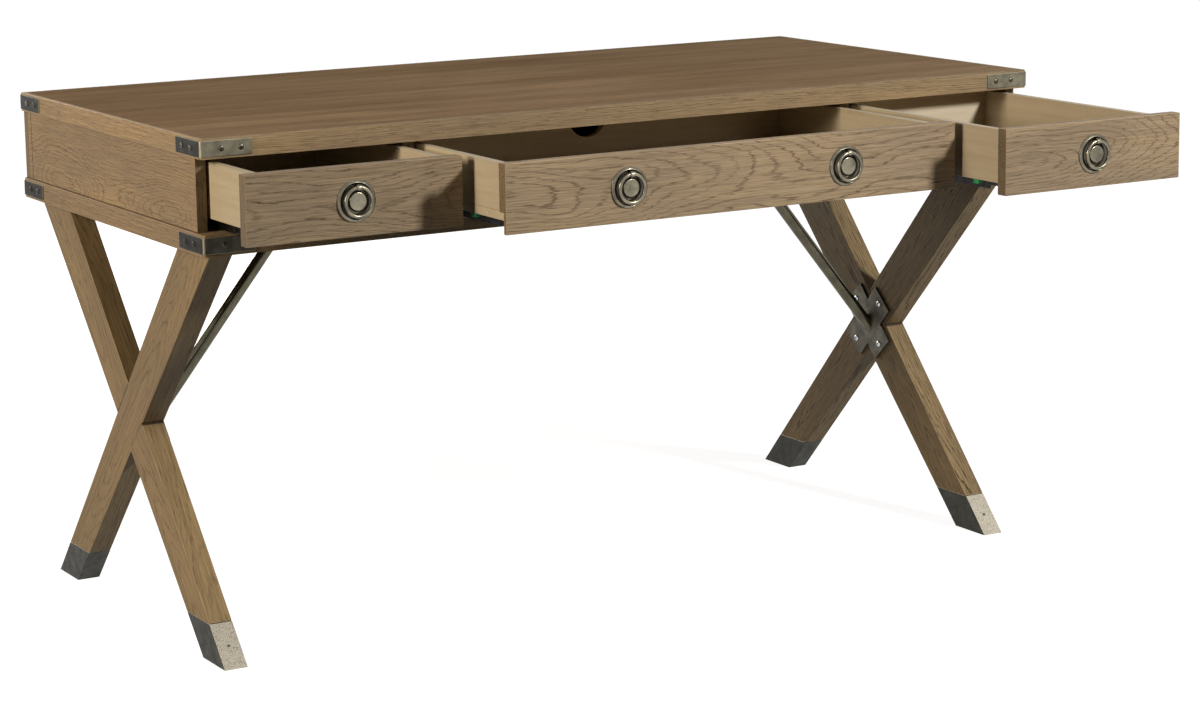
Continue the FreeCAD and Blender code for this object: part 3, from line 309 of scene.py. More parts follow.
def aged_metal(name, light, dark, roughness, grit, relief, patina=False, pits=0.0, rubbed_and_highlit=0.0, up_highlight=None,
               side_shade=None):
    """Plated steel or cast alloy aged with a dark patina: clouds some 18 mm wide, a fine grit and worn
    lighter places.

    Grit is the size of its surface texture in metres and relief how deep it is. With patina, the grooves
    that the mesh marks are darker. Rubbed bares the slopes of upright plates, at their fold and edges, to
    paler metal that is also a painted highlight. The upward colour is a painted highlight on faces that lean
    upwards, and the side colour is painted shade, a darker metal on faces that look along the desk."""
    material, tree = new_material(name)
    spot = add(tree, "TexCoord")
    clouds = add(tree, "TexNoise", {"Vector": spot.outputs["Object"], "Scale": 55.0, "Detail": 4.0,
                                    "Roughness": 0.6})
    grain = add(tree, "TexNoise", {"Vector": spot.outputs["Object"], "Scale": 1 / grit, "Detail": 3.0,
                                   "Roughness": 0.7})
    mix_in = add(tree, "Math", {0: grain.outputs[0], 1: 0.45}, operation="MULTIPLY")
    cloudy = add(tree, "Math", {0: clouds.outputs[0], 1: 0.75, 2: mix_in.outputs[0]},
                 operation="MULTIPLY_ADD")
    worn = add(tree, "MapRange", {0: cloudy.outputs[0], 1: 0.42, 2: 0.78, 3: 0.0, 4: 1.0},
               interpolation_type="SMOOTHSTEP")
    base = add(tree, "Mix", {0: worn.outputs[0], 6: colour(dark), 7: colour(light)}, data_type="RGBA")
    colour_out = base.outputs[2]
    # Painted highlight: faces that lean upwards take a brighter colour
    if up_highlight:
        lean = add(tree, "SeparateXYZ", {0: spot.outputs["Normal"]}).outputs[2]
        highlit_up = add(tree, "MapRange", {0: lean, 1: 0.30, 2: 0.60, 3: 0.0, 4: 1.0})
        colour_out = add(tree, "Mix", {0: highlit_up.outputs[0], 6: colour_out, 7: colour(up_highlight)},
                         data_type="RGBA").outputs[2]
    # Painted shade: faces that look along the desk take a darker colour
    if side_shade:
        aside = add(tree, "VectorMath", {0: spot.outputs["Normal"], 1: X}, operation="DOT_PRODUCT")
        aside = add(tree, "Math", {0: aside.outputs["Value"]}, operation="ABSOLUTE")
        side_shaded = add(tree, "MapRange", {0: aside.outputs[0], 1: 0.5, 2: 0.9, 3: 0.0, 4: 1.0})
        colour_out = add(tree, "Mix", {0: side_shaded.outputs[0], 6: colour_out, 7: colour(side_shade)},
                         data_type="RGBA").outputs[2]
    if pits:
        pit_cells = add(tree, "TexNoise", {"Vector": spot.outputs["Object"], "Scale": 1 / (1.3 * grit),
                                           "Detail": 1.0})
        pitted = add(tree, "MapRange", {0: pit_cells.outputs[0], 1: 0.54, 2: 0.66, 3: 0.0, 4: pits})
        colour_out = add(tree, "Mix", {0: pitted.outputs[0], 6: colour_out, 7: colour(PIT_DARK)},
                         data_type="RGBA").outputs[2]
    # Painted highlight as well as wear: the fold and edges of upright plates are bared to paler metal
    if rubbed_and_highlit:
        slopes = add(tree, "VectorMath", {0: spot.outputs["Normal"]}, operation="ABSOLUTE")
        slope = add(tree, "SeparateXYZ", {0: slopes.outputs[0]}).outputs
        most = add(tree, "Math", {0: slope[0], 1: slope[1]}, operation="MAXIMUM")
        bared_and_highlit = add(tree, "MapRange", {0: most.outputs[0], 1: 0.75, 2: 0.97, 3: rubbed_and_highlit, 4: 0.0})
        colour_out = add(tree, "Mix", {0: bared_and_highlit.outputs[0], 6: colour_out, 7: colour(BARED_AND_HIGHLIT_METAL)},
                         data_type="RGBA").outputs[2]
    if patina:
        marked = add(tree, "Attribute", attribute_name="patina")
        colour_out = add(tree, "Mix", {0: marked.outputs["Fac"], 6: colour_out, 7: colour(GROOVE_PATINA)},
                         data_type="RGBA").outputs[2]
    bump = add(tree, "Bump", {"Height": grain.outputs[0], "Strength": 0.5, "Distance": relief})
    rough = add(tree, "MapRange", {0: worn.outputs[0], 1: 0.0, 2: 1.0, 3: roughness + 0.08,
                                   4: roughness - 0.06})
    surface = add(tree, "BsdfPrincipled", {"Base Color": colour_out, "Roughness": rough.outputs[0],
                                           "Normal": bump.outputs[0], "Metallic": 1.0})
    add(tree, "OutputMaterial", {"Surface": surface.outputs[0]})
    return material


def clip_plastic():
    """Moulded nylon of the slides' clips: clean green with a faint moulded texture, drawn 1 mm wide."""
    material, tree = new_material("moulded_green_nylon")
    spot = add(tree, "TexCoord")
    grain = add(tree, "TexNoise", {"Vector": spot.outputs["Object"], "Scale": 900.0, "Detail": 2.0})
    base = add(tree, "Mix", {0: grain.outputs[0], 6: colour("#0E8A4C"), 7: colour("#16A35C")},
               data_type="RGBA")
    bump = add(tree, "Bump", {"Height": grain.outputs[0], "Strength": 0.2, "Distance": 0.1 * MM})
    surface = add(tree, "BsdfPrincipled", {"Base Color": base.outputs[2], "Roughness": 0.42,
                                           "Normal": bump.outputs[0], "IOR": 1.53})
    add(tree, "OutputMaterial", {"Surface": surface.outputs[0]})
    return material


# Meshes

def put(name, bm, material, body, stands_for, sharp=32):
    """A finished mesh as a piece on its body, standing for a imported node. Folds over sharp degrees stay
    crisp."""
    bmesh.ops.recalc_face_normals(bm, faces=bm.faces)
    mesh = bpy.data.meshes.new(name)
    bm.to_mesh(mesh)
    bm.free()
    mesh.shade_smooth()
    mesh.set_sharp_from_angle(angle=math.radians(sharp))
    piece = bpy.data.objects.new(name, mesh)
    bpy.context.scene.collection.objects.link(piece)
    mesh.materials.append(material)
    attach(piece, body)
    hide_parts(stands_for)


def band_mesh(outline, low, high, arris, inner):
    """A strip with an upright outline whose long edges are eased, except along its inner face."""
    bm = bmesh.new()
    rings = [[bm.verts.new((*point, z)) for point in outline] for z in (low, high)]
    count = len(outline)
    for i in range(count):
        j = (i + 1) % count
        bm.faces.new((rings[0][i], rings[0][j], rings[1][j], rings[1][i]))
    for ring in rings:
        bm.faces.new(ring)
    eased = [edge for edge in bm.edges if abs(edge.verts[0].co.z - edge.verts[1].co.z) < 1e-9
             and not inner((edge.verts[0].co + edge.verts[1].co) / 2)]
    bmesh.ops.bevel(bm, geom=eased, offset=arris, segments=3, profile=0.5, affect="EDGES")
    return bm


# The bands are sawn from far beside the pith, so their grain runs nearly straight
BAND_GRAIN = {"centre": 0.30, "pith": 0.10, "swell": 0.006, "wave": 1.3, "ring": 0.0026, "sway": 0.35,
              "lines": 1.15, "edge_tone": 0.85}


def edge_bands(label, low, high, long_tone, short_tone):
    """Solid strips round the top or base, the front and back ones with rounded corners."""
    wide, corner, arris = 6 * MM, 4 * MM, 1.0 * MM
    arc = [(corner * (1 - math.cos(turn)), corner * (1 - math.sin(turn))) for turn in
           [math.pi / 2 * i / 6 for i in range(7)]]
    for side, sign in (("front", 1), ("back", -1)):
        face_y = -HALF_DEEP * sign
        seam = face_y + sign * wide
        left = [(u - HALF_LONG, face_y + sign * v) for u, v in arc]
        right = [(HALF_LONG - u, face_y + sign * v) for u, v in reversed(arc)]
        outline = [(-HALF_LONG, seam)] + left + right + [(HALF_LONG, seam)]
        strip = band_mesh(outline[::sign], low, high, arris, lambda mid, s=seam: abs(mid.y - s) < 1e-6)
        wood = oak(f"oak_{label}_{side}_band", X, -Y * sign, Vector((0, face_y, low)), seed=3.1 + sign,
                   edge=(X, Z), tone=long_tone, **BAND_GRAIN)
        put(f"{label}_band_{side}", strip, wood, "desk", f"{label}_edge_bands")
    for side, sign in (("left", 1), ("right", -1)):
        face_x = -HALF_LONG * sign
        seam, end = face_x + sign * wide, HALF_DEEP - wide
        outline = [(face_x, -end), (seam, -end), (seam, end), (face_x, end)]
        strip = band_mesh(outline, low, high, arris, lambda mid, f=face_x: abs(mid.x - f) > 1e-6)
        wood = oak(f"oak_{label}_{side}_band", Y, -X * sign, Vector((face_x, 0, low)), seed=7.7 + sign,
                   edge=(X, Z), tone=short_tone, **BAND_GRAIN)
        put(f"{label}_band_{side}", strip, wood, "desk", f"{label}_edge_bands")


def corner_plate(bm, side_x, side_y, middle):
    """One folded plate round a corner: eased free ends, soft edges and a slight hand-beaten wave."""
    thick, tall, corner, ease, rim, dent = BRACKET_THICK, 23 * MM, 4 * MM, 1.6 * MM, 0.9 * MM, 0.06 * MM
    front, bend, side = 73 * MM, (corner + thick) * math.pi / 2, 78 * MM
    long = front + bend + side
    close = [0, 0.15 * MM, 0.4 * MM, 0.7 * MM, 1.1 * MM]

    def stops(length, count):
        """Places along a length, closer together at both ends."""
        even = [ease + (length - 2 * ease) * i / count for i in range(count + 1)]
        return close + even + [length - stop for stop in reversed(close)]

    def seat(run):
        """Where a run from the front's end lies on the wood, and the way out of the wood there."""
        if run < front:
            spot = Vector((side_x * (HALF_LONG - corner - front + run), side_y * HALF_DEEP))
            return spot, Vector((0, side_y))
        if run < front + bend:
            turn = (run - front) / bend * math.pi / 2
            out = Vector((side_x * math.sin(turn), side_y * math.cos(turn)))
            return Vector((side_x * (HALF_LONG - corner), side_y * (HALF_DEEP - corner))) + out * corner, out
        spot = Vector((side_x * HALF_LONG, side_y * (HALF_DEEP - corner - run + front + bend)))
        return spot, Vector((side_x, 0))

    runs, levels = stops(long, 170), stops(tall, 26)
    outer, inner = {}, {}
    for i, run in enumerate(runs):
        for j, level in enumerate(levels):
            end, edge = min(run, long - run), min(level, tall - level)
            if end < ease and edge < ease:
                from_centre = math.hypot(ease - end, ease - edge)
                draw_in = min(1.0, ease / from_centre)
                inside = max(0.0, ease - from_centre)
                end, edge = ease - (ease - end) * draw_in, ease - (ease - edge) * draw_in
            else:
                inside = min(end, edge)
            here = end if run < long / 2 else long - end
            height = edge if level < tall / 2 else tall - edge
            spot, out = seat(here)
            share = min(inside / rim, 1.0)
            # The waves are 30 mm long along the plate and 19 mm across it
            beaten = dent * math.sin(here * 210 + side_x * 28) * math.sin(height * 330 + side_y * 17)
            stand = thick * (0.45 + 0.55 * math.sqrt(1 - (1 - share) ** 2)) + beaten * share
            z = middle - tall / 2 + height
            outer[i, j] = bm.verts.new((*(spot + out * stand), z))
            if i in (0, len(runs) - 1) or j in (0, len(levels) - 1):
                inner[i, j] = bm.verts.new((*spot, z))
    last_run, last_level = len(runs) - 1, len(levels) - 1
    for i in range(last_run):
        for j in range(last_level):
            bm.faces.new((outer[i, j], outer[i + 1, j], outer[i + 1, j + 1], outer[i, j + 1]))
    border = ([(i, 0) for i in range(last_run)] + [(last_run, j) for j in range(last_level)]
              + [(i, last_level) for i in range(last_run, 0, -1)]
              + [(0, j) for j in range(last_level, 0, -1)])
    for here, following in zip(border, border[1:] + border[:1]):
        bm.faces.new((outer[here], outer[following], inner[following], inner[here]))


def brackets(label, low, high, metal, screw_metal):
    """The four corner plates of the top or base, and their screws."""
    middle = (low + high) / 2
    plates, heads = bmesh.new(), bmesh.new()
    for side_x in (1, -1):
        for side_y in (-1, 1):
            corner_plate(plates, side_x, side_y, middle)
    out_x, out_y = HALF_LONG + BRACKET_THICK, HALF_DEEP + BRACKET_THICK
    # Each arm has a screw at these two distances from the corner. No two are driven to the same turn
    for run, spin in ((32.5 * MM, 22), (62 * MM, 61)):
        for sign in (1, -1):
            for face in (1, -1):
                front_spot = Vector((sign * (out_x - run), face * out_y, middle))
                side_spot = Vector((face * out_x, sign * (out_y - run), middle))
                screw_head(heads, front_spot, Y * face, spin * sign + 31 * face, **BRACKET_SCREW)
                screw_head(heads, side_spot, X * face, spin * sign + 17 * face, **BRACKET_SCREW)
    put(f"bracket_plates_{label}", plates, metal, "desk", f"corner_brackets_{label}", 50)
    put(f"bracket_screw_heads_{label}", heads, screw_metal, "desk",
        f"bracket_screws_{label}", 40)


def patina_layer(bm):
    """The layer of a mesh that marks where dark patina lies, from 0 to 1."""
    return bm.verts.layers.float.get("patina") or bm.verts.layers.float.new("patina")


def tube_faces(bm, rows, capped=True):
    """Faces between rings of points, and over the first and last ring."""
    for here, following in zip(rows, rows[1:]):
        for k in range(len(here)):
            n = (k + 1) % len(here)
            bm.faces.new((here[k], following[k], following[n], here[n]))
    if capped:
        bm.faces.new(rows[0])
        bm.faces.new(rows[-1])


def screw_head(bm, spot, out, spin, radius, tall, recess):
    """A domed screw head with a cross recess 1.1 mm wide. Its spin is in degrees, and its radius, height
    and recess depth are in millimetres."""
    side = out.cross(Z) if abs(out.z) < 0.9 else out.cross(Y)
    side = Matrix.Rotation(math.radians(spin), 3, out) @ side.normalized()
    other = out.cross(side)
    patina = patina_layer(bm)
    circles, spokes = 11, 48
    rows = []
    for i in range(1, circles + 1):
        share = math.sin(math.pi / 2 * i / circles)
        row = []
        for k in range(spokes):
            angle = 2 * math.pi * k / spokes
            u, v = radius * share * math.cos(angle), radius * share * math.sin(angle)
            arm_wide = max(0.0, min(1.0, (0.55 - min(abs(u), abs(v))) / 0.18))
            arm_long = max(0.0, min(1.0, (0.5 * radius - max(abs(u), abs(v))) / 0.4))
            cross = arm_wide * arm_long
            height = tall * math.sqrt(max(0.0, 1 - share ** 2.6)) - recess * cross
            vert = bm.verts.new(spot + (side * u + other * v + out * height) * MM)
            vert[patina] = max(cross, 0.9 if i >= circles - 1 else 0.0)
            row.append(vert)
        rows.append(row)
    middle = bm.verts.new(spot + out * (tall - recess) * MM)
    middle[patina] = 1.0
    for k in range(spokes):
        bm.faces.new((middle, rows[0][k], rows[0][(k + 1) % spokes]))
    tube_faces(bm, rows, capped=False)


def lathe(bm, profile, spokes, place):
    """Turn a profile of (radius, height, patina) in millimetres that ends on its axis."""
    patina = patina_layer(bm)
    rows = []
    for radius, height, dark in profile[:-1]:
        rows.append([bm.verts.new(place(radius * math.cos(2 * math.pi * k / spokes),
                                        radius * math.sin(2 * math.pi * k / spokes), height))
                     for k in range(spokes)])
        for vert in rows[-1]:
            vert[patina] = dark
    tube_faces(bm, rows, capped=False)
    tip = bm.verts.new(place(0, 0, profile[-1][1]))
    for k in range(spokes):
        bm.faces.new((rows[-1][k], tip, rows[-1][(k + 1) % spokes]))


def arc_points(centre, radius, start, end, count):
    """Points of a circular arc in a profile, angles in degrees."""
    turns = [math.radians(start + (end - start) * i / count) for i in range(count + 1)]
    return [(centre[0] + radius * math.cos(turn), centre[1] + radius * math.sin(turn)) for turn in turns]


def back_plate_profile():
    """A pull's back plate from its edge to its middle: bevelled rim, bead, dished floor and a soft button."""
    outline = ([(29, 0), (29, 0.9)] + arc_points((28.2, 0.9), 0.8, 0, 60, 4)
               + arc_points((25.9, 3.1), 0.9, 55, 120, 5) + [(24.9, 3.4), (24.4, 2.6)]
               + arc_points((23.6, 2.6), 0.8, 0, -90, 4) + [(22.6, 1.9), (20, 2.1), (16, 2.2), (14.1, 2.1)]
               + [(13.2, 2.3), (13, 3), (13, 5.4)] + arc_points((11.5, 5.4), 1.5, 0, 80, 7)
               + [(9.5, 6.98), (7, 7.0), (4, 7.0), (0, 7.0)])
    # The patina lies in the dished floor and deepest in the grooves beside the bead and the button
    grooves = ((13.05, 14.6, 1.0), (14.6, 22.9, 0.55), (22.9, 24.7, 1.0))
    marked = []
    for radius, height in outline:
        dark = max([level for low, high, level in grooves if low <= radius <= high and height < 4] + [0.0])
        marked.append((radius, height, dark))
    return marked


def pull(name, x, front_y, plates, posts, metal):
    """One pull's plate and post into their meshes, and its ring as a piece of its own."""
    def place(u, v, w):
        return Vector((x + u * MM, front_y - w * MM, PULL_HEIGHT + v * MM))

    lathe(plates, back_plate_profile(), 96, place)
    knuckle(posts, place)
    hoop = bmesh.new()
    hoop_mesh(hoop, place)
    put(f"ring_{name}_hoop", hoop, metal, f"ring_{name}", f"pull_ring_{name}", 60)


def knuckle(bm, place):
    """The post that carries the ring: a rounded barrel on a flared neck."""
    patina = patina_layer(bm)
    half, barrel = 4.0, []
    for stop in (0, 0.25, 0.6, 1, 2, 3, 4, 5, 6, 7, 7.4, 7.75, 8):
        from_end, u = min(stop, 8 - stop), stop - half
        shoulder = 0.9 * (1 - math.sqrt(1 - (1 - min(from_end, 1)) ** 2))
        radius = 4.2 - shoulder - 0.25 * (u / half) ** 2
        barrel.append([])
        for k in range(32):
            turn = 2 * math.pi * k / 32
            vert = bm.verts.new(place(u, POST_RISE + radius * math.cos(turn),
                                      POST_STAND + radius * math.sin(turn)))
            vert[patina] = 0.0 if from_end > 0.3 else 0.6
            barrel[-1].append(vert)
    tube_faces(bm, barrel)
    neck = []
    for w, wide, tall in ((1.5, 4.0, 4.2), (2.4, 3.6, 3.4), (4, 3.3, 2.5), (6, 3.3, 2.4), (8, 3.4, 2.6)):
        neck.append([])
        for k in range(24):
            cos, sin = math.cos(math.pi * k / 12), math.sin(math.pi * k / 12)
            u = math.copysign(abs(cos) ** 0.6, cos) * wide
            v = math.copysign(abs(sin) ** 0.6, sin) * tall
            vert = bm.verts.new(place(u, POST_RISE + v, w))
            vert[patina] = 0.9 if w < 5 else 0.3
            neck[-1].append(vert)
    tube_faces(bm, neck)


def hoop_mesh(bm, place):
    """A ring of slightly squared wire, open at the post, with rounded ends and pins into the post."""
    patina = patina_layer(bm)
    mean, wire, half_gap, swell, pin = 20.0, 2.7, 4.3, 0.25, 1.4
    opening = math.asin(half_gap / mean)
    swing, steps = 2 * math.pi - 2 * opening, 120
    tips = [(swell * (1 - share) / mean, share) for share in (0.30, 0.62, 0.84, 0.96)]
    stops = ([(-past, share) for past, share in tips] + [(swing * i / steps, 1.0) for i in range(steps + 1)]
             + [(swing + past, share) for past, share in reversed(tips)])
    rows = []
    for along, share in stops:
        angle = math.pi / 2 + opening + along
        rows.append([])
        for k in range(28):
            turn = math.pi * k / 14
            squared = wire * share * (1 - 0.05 * (1 + math.cos(4 * turn)) / 2)
            reach, away = mean + squared * math.cos(turn), squared * math.sin(turn)
            vert = bm.verts.new(place(reach * math.cos(angle), POST_RISE - mean + reach * math.sin(angle),
                                      POST_STAND + away))
            vert[patina] = 0.35 if away < -1.2 else 0.0
            rows[-1].append(vert)
    tube_faces(bm, rows)
    for sign in (1, -1):
        tube_faces(bm, [[bm.verts.new(place(sign * u, POST_RISE + pin * math.cos(math.pi * k / 10),
                                            POST_STAND + pin * math.sin(math.pi * k / 10)))
                         for k in range(20)] for u in (0.4, 6.6)])


def dress(node, material):
    """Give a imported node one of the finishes."""
    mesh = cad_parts[node].data
    mesh.materials.clear()
    mesh.materials.append(material)


def middle_of(node):
    """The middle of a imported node's box."""
    low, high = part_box(node)
    return (low + high) / 2


set_camera()

# Desk body in oak. The top is paler and quite dull, and its veneer comes from far beside the pith
dress("top_panel", oak("oak_top", X, Z, Vector((0, 0, TOP_HIGH)), seed=1.3, centre=0.55, pith=0.20,
                       swell=0.01, wave=1.6, ring=0.0075, lines=0.65, ground="#AD967B", wash="#998268",
                       dark="#6D5844", gloss=0.0, broad=0.13))
dress("base_panel", oak("oak_base", X, -Z, Vector((0, 0, BASE_LOW)), seed=2.2, centre=0.3, pith=0.10,
                        lines=0.6))
# The top's end bands are painted lighter and its front and back bands darker: lit and shaded copies of one
# oak
edge_bands("top", TOP_LOW, TOP_HIGH, 0.90, 1.30)
edge_bands("base", BASE_LOW, BASE_HIGH, 0.95, 1.0)
CASE_HALF = (TOP_LOW - BASE_HIGH) / 2
CASE_SEAMS = ((1, CASE_HALF, 1), (1, -CASE_HALF, 1))
for side, sign in (("left", -1), ("right", 1)):
    panel = middle_of(f"side_panel_{side}")
    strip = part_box(f"side_panel_{side}")[1].y - panel.y - 12 * MM
    dress(f"side_panel_{side}", oak(f"oak_side_panel_{side}", Y, X * sign, panel, seed=4.4 + sign,
                                    centre=-0.040 * sign, pith=0.032, swell=0.016, wave=0.42, phase=1.9,
                                    ring=0.0036, lines=0.95, sway=0.7, edge=(Z, -Y), edge_tone=0.85,
                                    seams=(*CASE_SEAMS, (0, strip, 1))))
    dress(f"divider_{side}", oak(f"oak_divider_{side}", Z, -Y, middle_of(f"divider_{side}"), seed=8 + sign,
                                 centre=0.05, pith=0.04))
dress("back_panel", oak("oak_back_panel", X, Y, middle_of("back_panel"), seed=5.2, pith=0.03, wave=1.1,
                        lines=0.8, seams=CASE_SEAMS))

# How far each leg runs along the desk's depth on its way down, and its lean from upright
LEG_RUN = 0.55535
LEAN = math.atan2(LEG_RUN, BASE_LOW)

# The height at which the legs cross, and half a leg's width and half a joint line's length there
CROSSING, CROSS_HALF_WIDE, CROSS_HALF_LINE = 0.30655, 0.0348, 0.0355
LEG_WOOD = {"left": {"lines": 0.75, "dark": "#4A3A2A", "tone": 0.95},
            "right": {"lines": 1.4, "dark": "#38271A"}}
for side, sign in (("left", -1), ("right", 1)):
    for label, lean in (("a", 1), ("b", -1)):
        along = Vector((0, lean * math.sin(LEAN), math.cos(LEAN)))
        node = f"leg_{side}_{label}"
        crossing = Vector((middle_of(node).x, 0, CROSSING))
        dress(node, oak(f"oak_{node}", along, X * sign, crossing, seed=11.3 * lean + 5 * sign,
                        centre=0.008 * lean, pith=0.026, swell=0.014, wave=1.1, phase=lean * 1.4,
                        ring=0.0040, sway=0.4, ground="#9C8661", wash="#847254", **LEG_WOOD[side],
                        seams=((1, CROSS_HALF_WIDE, CROSS_HALF_LINE),
                               (1, -CROSS_HALF_WIDE, CROSS_HALF_LINE))))

# Drawer fronts, each with a figure of its own
FRONTS = {"left": dict(seed=21.0, centre=-0.010, pith=0.030, swell=0.016, wave=0.9, phase=2.2, sway=0.7,
                       ring=0.0044, tone=0.84),
          "center": dict(seed=33.0, centre=0.004, pith=0.034, swell=0.030, wave=1.5, phase=0.4, sway=0.75,
                         ring=0.0050),
          "right": dict(seed=47.0, centre=0.002, pith=0.030, swell=0.026, wave=0.80, phase=-0.4, sway=0.7,
                        ring=0.0043, tone=0.93)}
for side, figure in FRONTS.items():
    node = f"drawer_front_{side}"
    dress(node, oak(f"oak_front_{side}", X, -Y, middle_of(node), lines=1.0, ground="#A48F70",
                    wash="#8F7E67", **figure))
    for board, along, face in (("sides", Y, X), ("back", X, -Y)):
        node = f"drawer_{board}_{side}"
        dress(node, birch(f"birch_{board}_{side}", along, face, middle_of(node), figure["seed"]))
    # The bottoms are plywood with darker stained faces
    node = f"drawer_bottom_{side}"
    dress(node, birch(f"plywood_bottom_{side}", X, Z, middle_of(node), figure["seed"],
                      stain=("#927E5F", "#836F52")))

# Metals
folded_plate = {"roughness": 0.54, "grit": 1.6 * MM, "relief": 0.05 * MM}
pewter = aged_metal("folded_aged_pewter", "#6F6B5C", "#535045", rubbed_and_highlit=0.7, side_shade="#272722", **folded_plate)
# The base's brackets take a darker copy of the pewter: painted shade under the drawers
shaded_base_pewter = aged_metal("folded_pewter_painted_shade", "#393730", "#2A2923", rubbed_and_highlit=0.5, side_shade="#211F1B",
                         **folded_plate)
pewter_screws = aged_metal("turned_aged_pewter_screws", "#625E51", "#3E3C34", 0.40, 1.0 * MM, 0.03 * MM,
                           patina=True)
# The base's screws take a darker copy of the pewter screws: painted shade under the drawers
shaded_base_screws = aged_metal("turned_pewter_screws_painted_shade", "#47443B", "#2E2C27", 0.42, 1.0 * MM, 0.03 * MM,
                         patina=True)
# The foot caps' faces that lean upwards take a painted highlight
cap_metal = aged_metal("pitted_sheet_foot_metal", "#393934", "#2E2E29", 0.50, 1.0 * MM, 0.04 * MM,
                       pits=0.75, up_highlight="#A29D8F")
gunmetal = aged_metal("sheet_gunmetal", "#5D594F", "#403E37", 0.50, 1.2 * MM, 0.06 * MM)
rod_metal = aged_metal("brushed_pewter_rod", "#5B5748", "#48453A", 0.20, 1.2 * MM, 0.02 * MM)
zinc = aged_metal("bright_zinc_plate", "#C9CDD0", "#9DA3A6", 0.22, 0.8 * MM, 0.02 * MM, patina=True)
# The slide channels are painted dark: painted shade under the drawers
slide_metal_shaded = aged_metal("slide_channel_painted_shade", "#3B3B3A", "#262625", 0.42, 2.0 * MM, 0.02 * MM)
brass = aged_metal("stamped_brass_hinge", "#B79A5C", "#8E7443", 0.34, 1.5 * MM, 0.02 * MM)
nickel = aged_metal("burnished_antique_nickel", "#888271", "#59554A", 0.27, 1.1 * MM, 0.05 * MM, patina=True)
nylon = clip_plastic()

brackets("top", TOP_LOW, TOP_HIGH, pewter, pewter_screws)
brackets("base", BASE_LOW, BASE_HIGH, shaded_base_pewter, shaded_base_screws)
dress("foot_caps", cap_metal)
dress("cap_pins", gunmetal)
dress("rod_plates", gunmetal)
for side in ("left", "right"):
    dress(f"cross_plate_{side}", gunmetal)
    dress(f"brace_rod_{side}", rod_metal)
dress("slide_fixed", slide_metal_shaded)
for side in FRONTS:
    dress(f"slide_middle_{side}", slide_metal_shaded)
    dress(f"slide_moving_{side}", slide_metal_shaded)
    dress(f"slide_clips_{side}", nylon)
dress("drop_hinge_pinned_leaves", brass)
dress("drop_hinge_front_leaves", brass)

# Zinc screws of the cross plates and rod plates: the cross plates' faces along the desk and their screws'
# distance from the crossing, then the rod plates' middles, their screws to each side and their height
CROSS_FACE, CROSS_RUN = 0.6515, 0.047
ROD_REACH, ROD_RUN, ROD_PLATE_LOW = 0.411, 0.032, 0.5945
screws = bmesh.new()
for sign in (1, -1):
    for along in (1, -1):
        for up in (1, -1):
            spot = Vector((sign * CROSS_FACE, along * CROSS_RUN * math.sin(LEAN),
                           CROSSING + up * CROSS_RUN * math.cos(LEAN)))
            screw_head(screws, spot, -X * sign, 25 * along + 40 * up, **PLATE_SCREW)
        spot = Vector((sign * (ROD_REACH + along * ROD_RUN), 0, ROD_PLATE_LOW))
        screw_head(screws, spot, -Z, 20, **PLATE_SCREW)
put("zinc_screw_heads", screws, zinc, "desk", "plate_screws", 40)

# Pulls: each front's body, and where its pulls stand along the desk
PULLS = {"left": ("drawer_left", {"left": -0.547}), "right": ("drawer_right", {"right": 0.547}),
         "center": ("drop_front", {"center_left": -0.1825, "center_right": 0.1825})}
for side, (body, spots) in PULLS.items():
    front_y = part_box(f"drawer_front_{side}")[0].y
    plates, posts = bmesh.new(), bmesh.new()
    for name, x in spots.items():
        pull(name, x, front_y, plates, posts, nickel)
    put(f"pull_back_plates_{side}", plates, nickel, body, f"pull_plate_{side}", 40)
    put(f"pull_knuckles_{side}", posts, nickel, body, f"pull_post_{side}", 50)


# Room and light

def shown_rays(tree):
    """1 for the rays of the camera, of reflections and through glass, and 0 for all others."""
    path = add(tree, "LightPath").outputs
    seen = add(tree, "Math", {0: path["Is Camera Ray"], 1: path["Is Glossy Ray"]}, operation="MAXIMUM")
    return add(tree, "Math", {0: seen.outputs[0], 1: path["Is Transmission Ray"]}, operation="MAXIMUM")


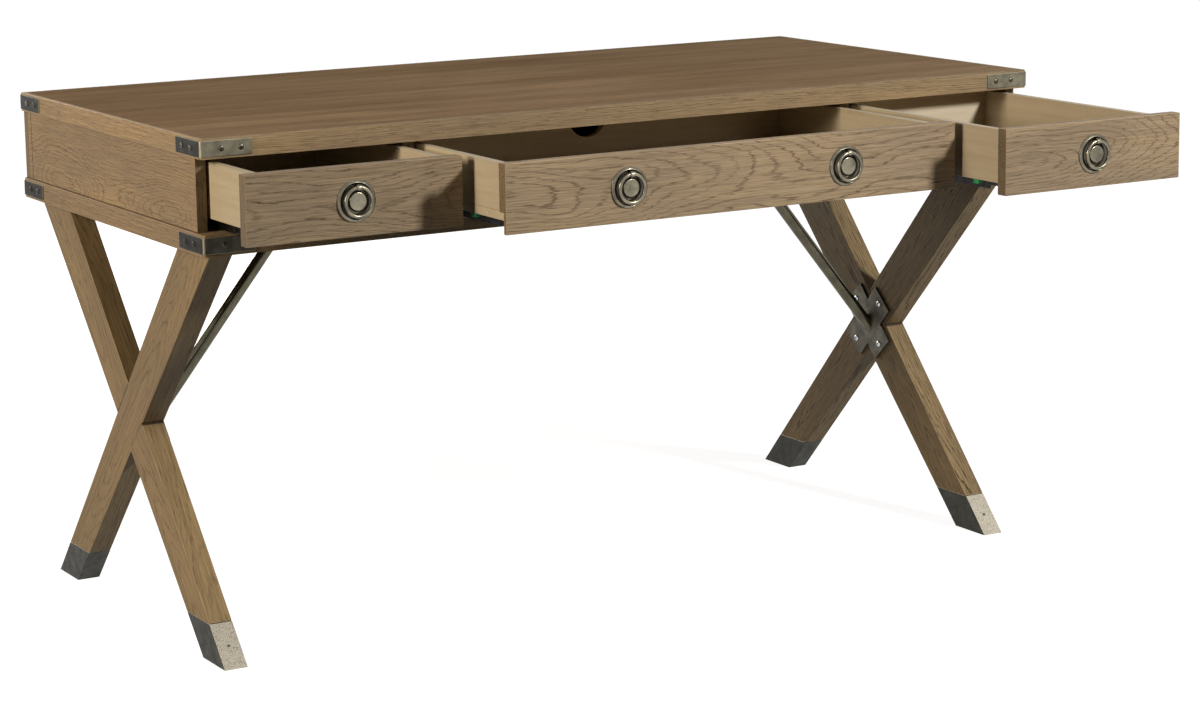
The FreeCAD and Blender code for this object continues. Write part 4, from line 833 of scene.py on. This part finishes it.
def build_floor():
    """A pale floor 120 m across that shows white and keeps the desk's soft shadow."""
    material, tree = new_material("matt_white_floor")
    shown = shown_rays(tree)
    spot = add(tree, "TexCoord")
    away = add(tree, "VectorMath", {0: spot.outputs["Object"]}, operation="LENGTH")
    white = add(tree, "MapRange", {0: away.outputs["Value"], 1: 0.8, 2: 5.0, 3: 0.89, 4: 1.0},
                interpolation_type="SMOOTHSTEP")
    glow_level = add(tree, "Math", {0: shown.outputs[0], 1: white.outputs[0]}, operation="MULTIPLY")
    paleness = add(tree, "MapRange", {0: shown.outputs[0], 1: 0.0, 2: 1.0, 3: 0.05, 4: 0.42})
    shade = add(tree, "CombineColor", {channel: paleness.outputs[0] for channel in (0, 1, 2)})
    matt = add(tree, "BsdfDiffuse", {"Color": shade.outputs[0]})
    glow = add(tree, "Emission", {"Color": (1, 1, 1, 1), "Strength": glow_level.outputs[0]})
    both = add(tree, "AddShader", {0: matt.outputs[0], 1: glow.outputs[0]})
    add(tree, "OutputMaterial", {"Surface": both.outputs[0]})
    bm = bmesh.new()
    bmesh.ops.create_circle(bm, cap_ends=True, radius=60, segments=96)
    mesh = bpy.data.meshes.new("floor")
    bm.to_mesh(mesh)
    bm.free()
    mesh.materials.append(material)
    floor = bpy.data.objects.new("floor", mesh)
    bpy.context.scene.collection.objects.link(floor)


def softbox(name, azimuth, elevation, distance, wide, tall, power, tint):
    """A rectangular lamp that faces the desk. Azimuth 0 is straight in front and 90 to the right, in
    degrees, sizes are in metres and power is in watts."""
    turn, lift = math.radians(azimuth), math.radians(elevation)
    target = Vector((0, -0.15, 0.55))
    out = Vector((math.sin(turn) * math.cos(lift), -math.cos(turn) * math.cos(lift), math.sin(lift)))
    data = bpy.data.lights.new(name, "AREA")
    data.shape = "RECTANGLE"
    data.size = wide
    data.size_y = tall
    data.energy = power
    data.color = colour(tint)[:3]
    lamp = bpy.data.objects.new(name, data)
    lamp.matrix_world = (Matrix.Translation(target + out * distance)
                         @ out.to_track_quat("Z", "Y").to_matrix().to_4x4())
    bpy.context.scene.collection.objects.link(lamp)


def light_world():
    """White to the camera and in reflections, and a dim even light on everything else."""
    world = bpy.data.worlds.new("world")
    world.use_nodes = True
    tree = world.node_tree
    tree.nodes.clear()
    shown = shown_rays(tree)
    level = add(tree, "MapRange", {0: shown.outputs[0], 1: 0.0, 2: 1.0, 3: 0.003, 4: 1.0})
    sky = add(tree, "Background", {"Color": (1, 1, 1, 1), "Strength": level.outputs[0]})
    add(tree, "OutputWorld", {"Surface": sky.outputs[0]})
    bpy.context.scene.world = world


build_floor()
light_world()
softbox("key_front_right", azimuth=26, elevation=25, distance=4.2, wide=0.40, tall=0.40, power=158,
        tint="#FFFAF3")
softbox("left_side", azimuth=-82, elevation=17, distance=5.0, wide=1.05, tall=1.7, power=165, tint="#FFEACC")
softbox("behind", azimuth=186, elevation=8, distance=3.8, wide=1.8, tall=1.0, power=50, tint="#FFF8EE")

bpy.context.scene.view_settings.view_transform = "Standard"
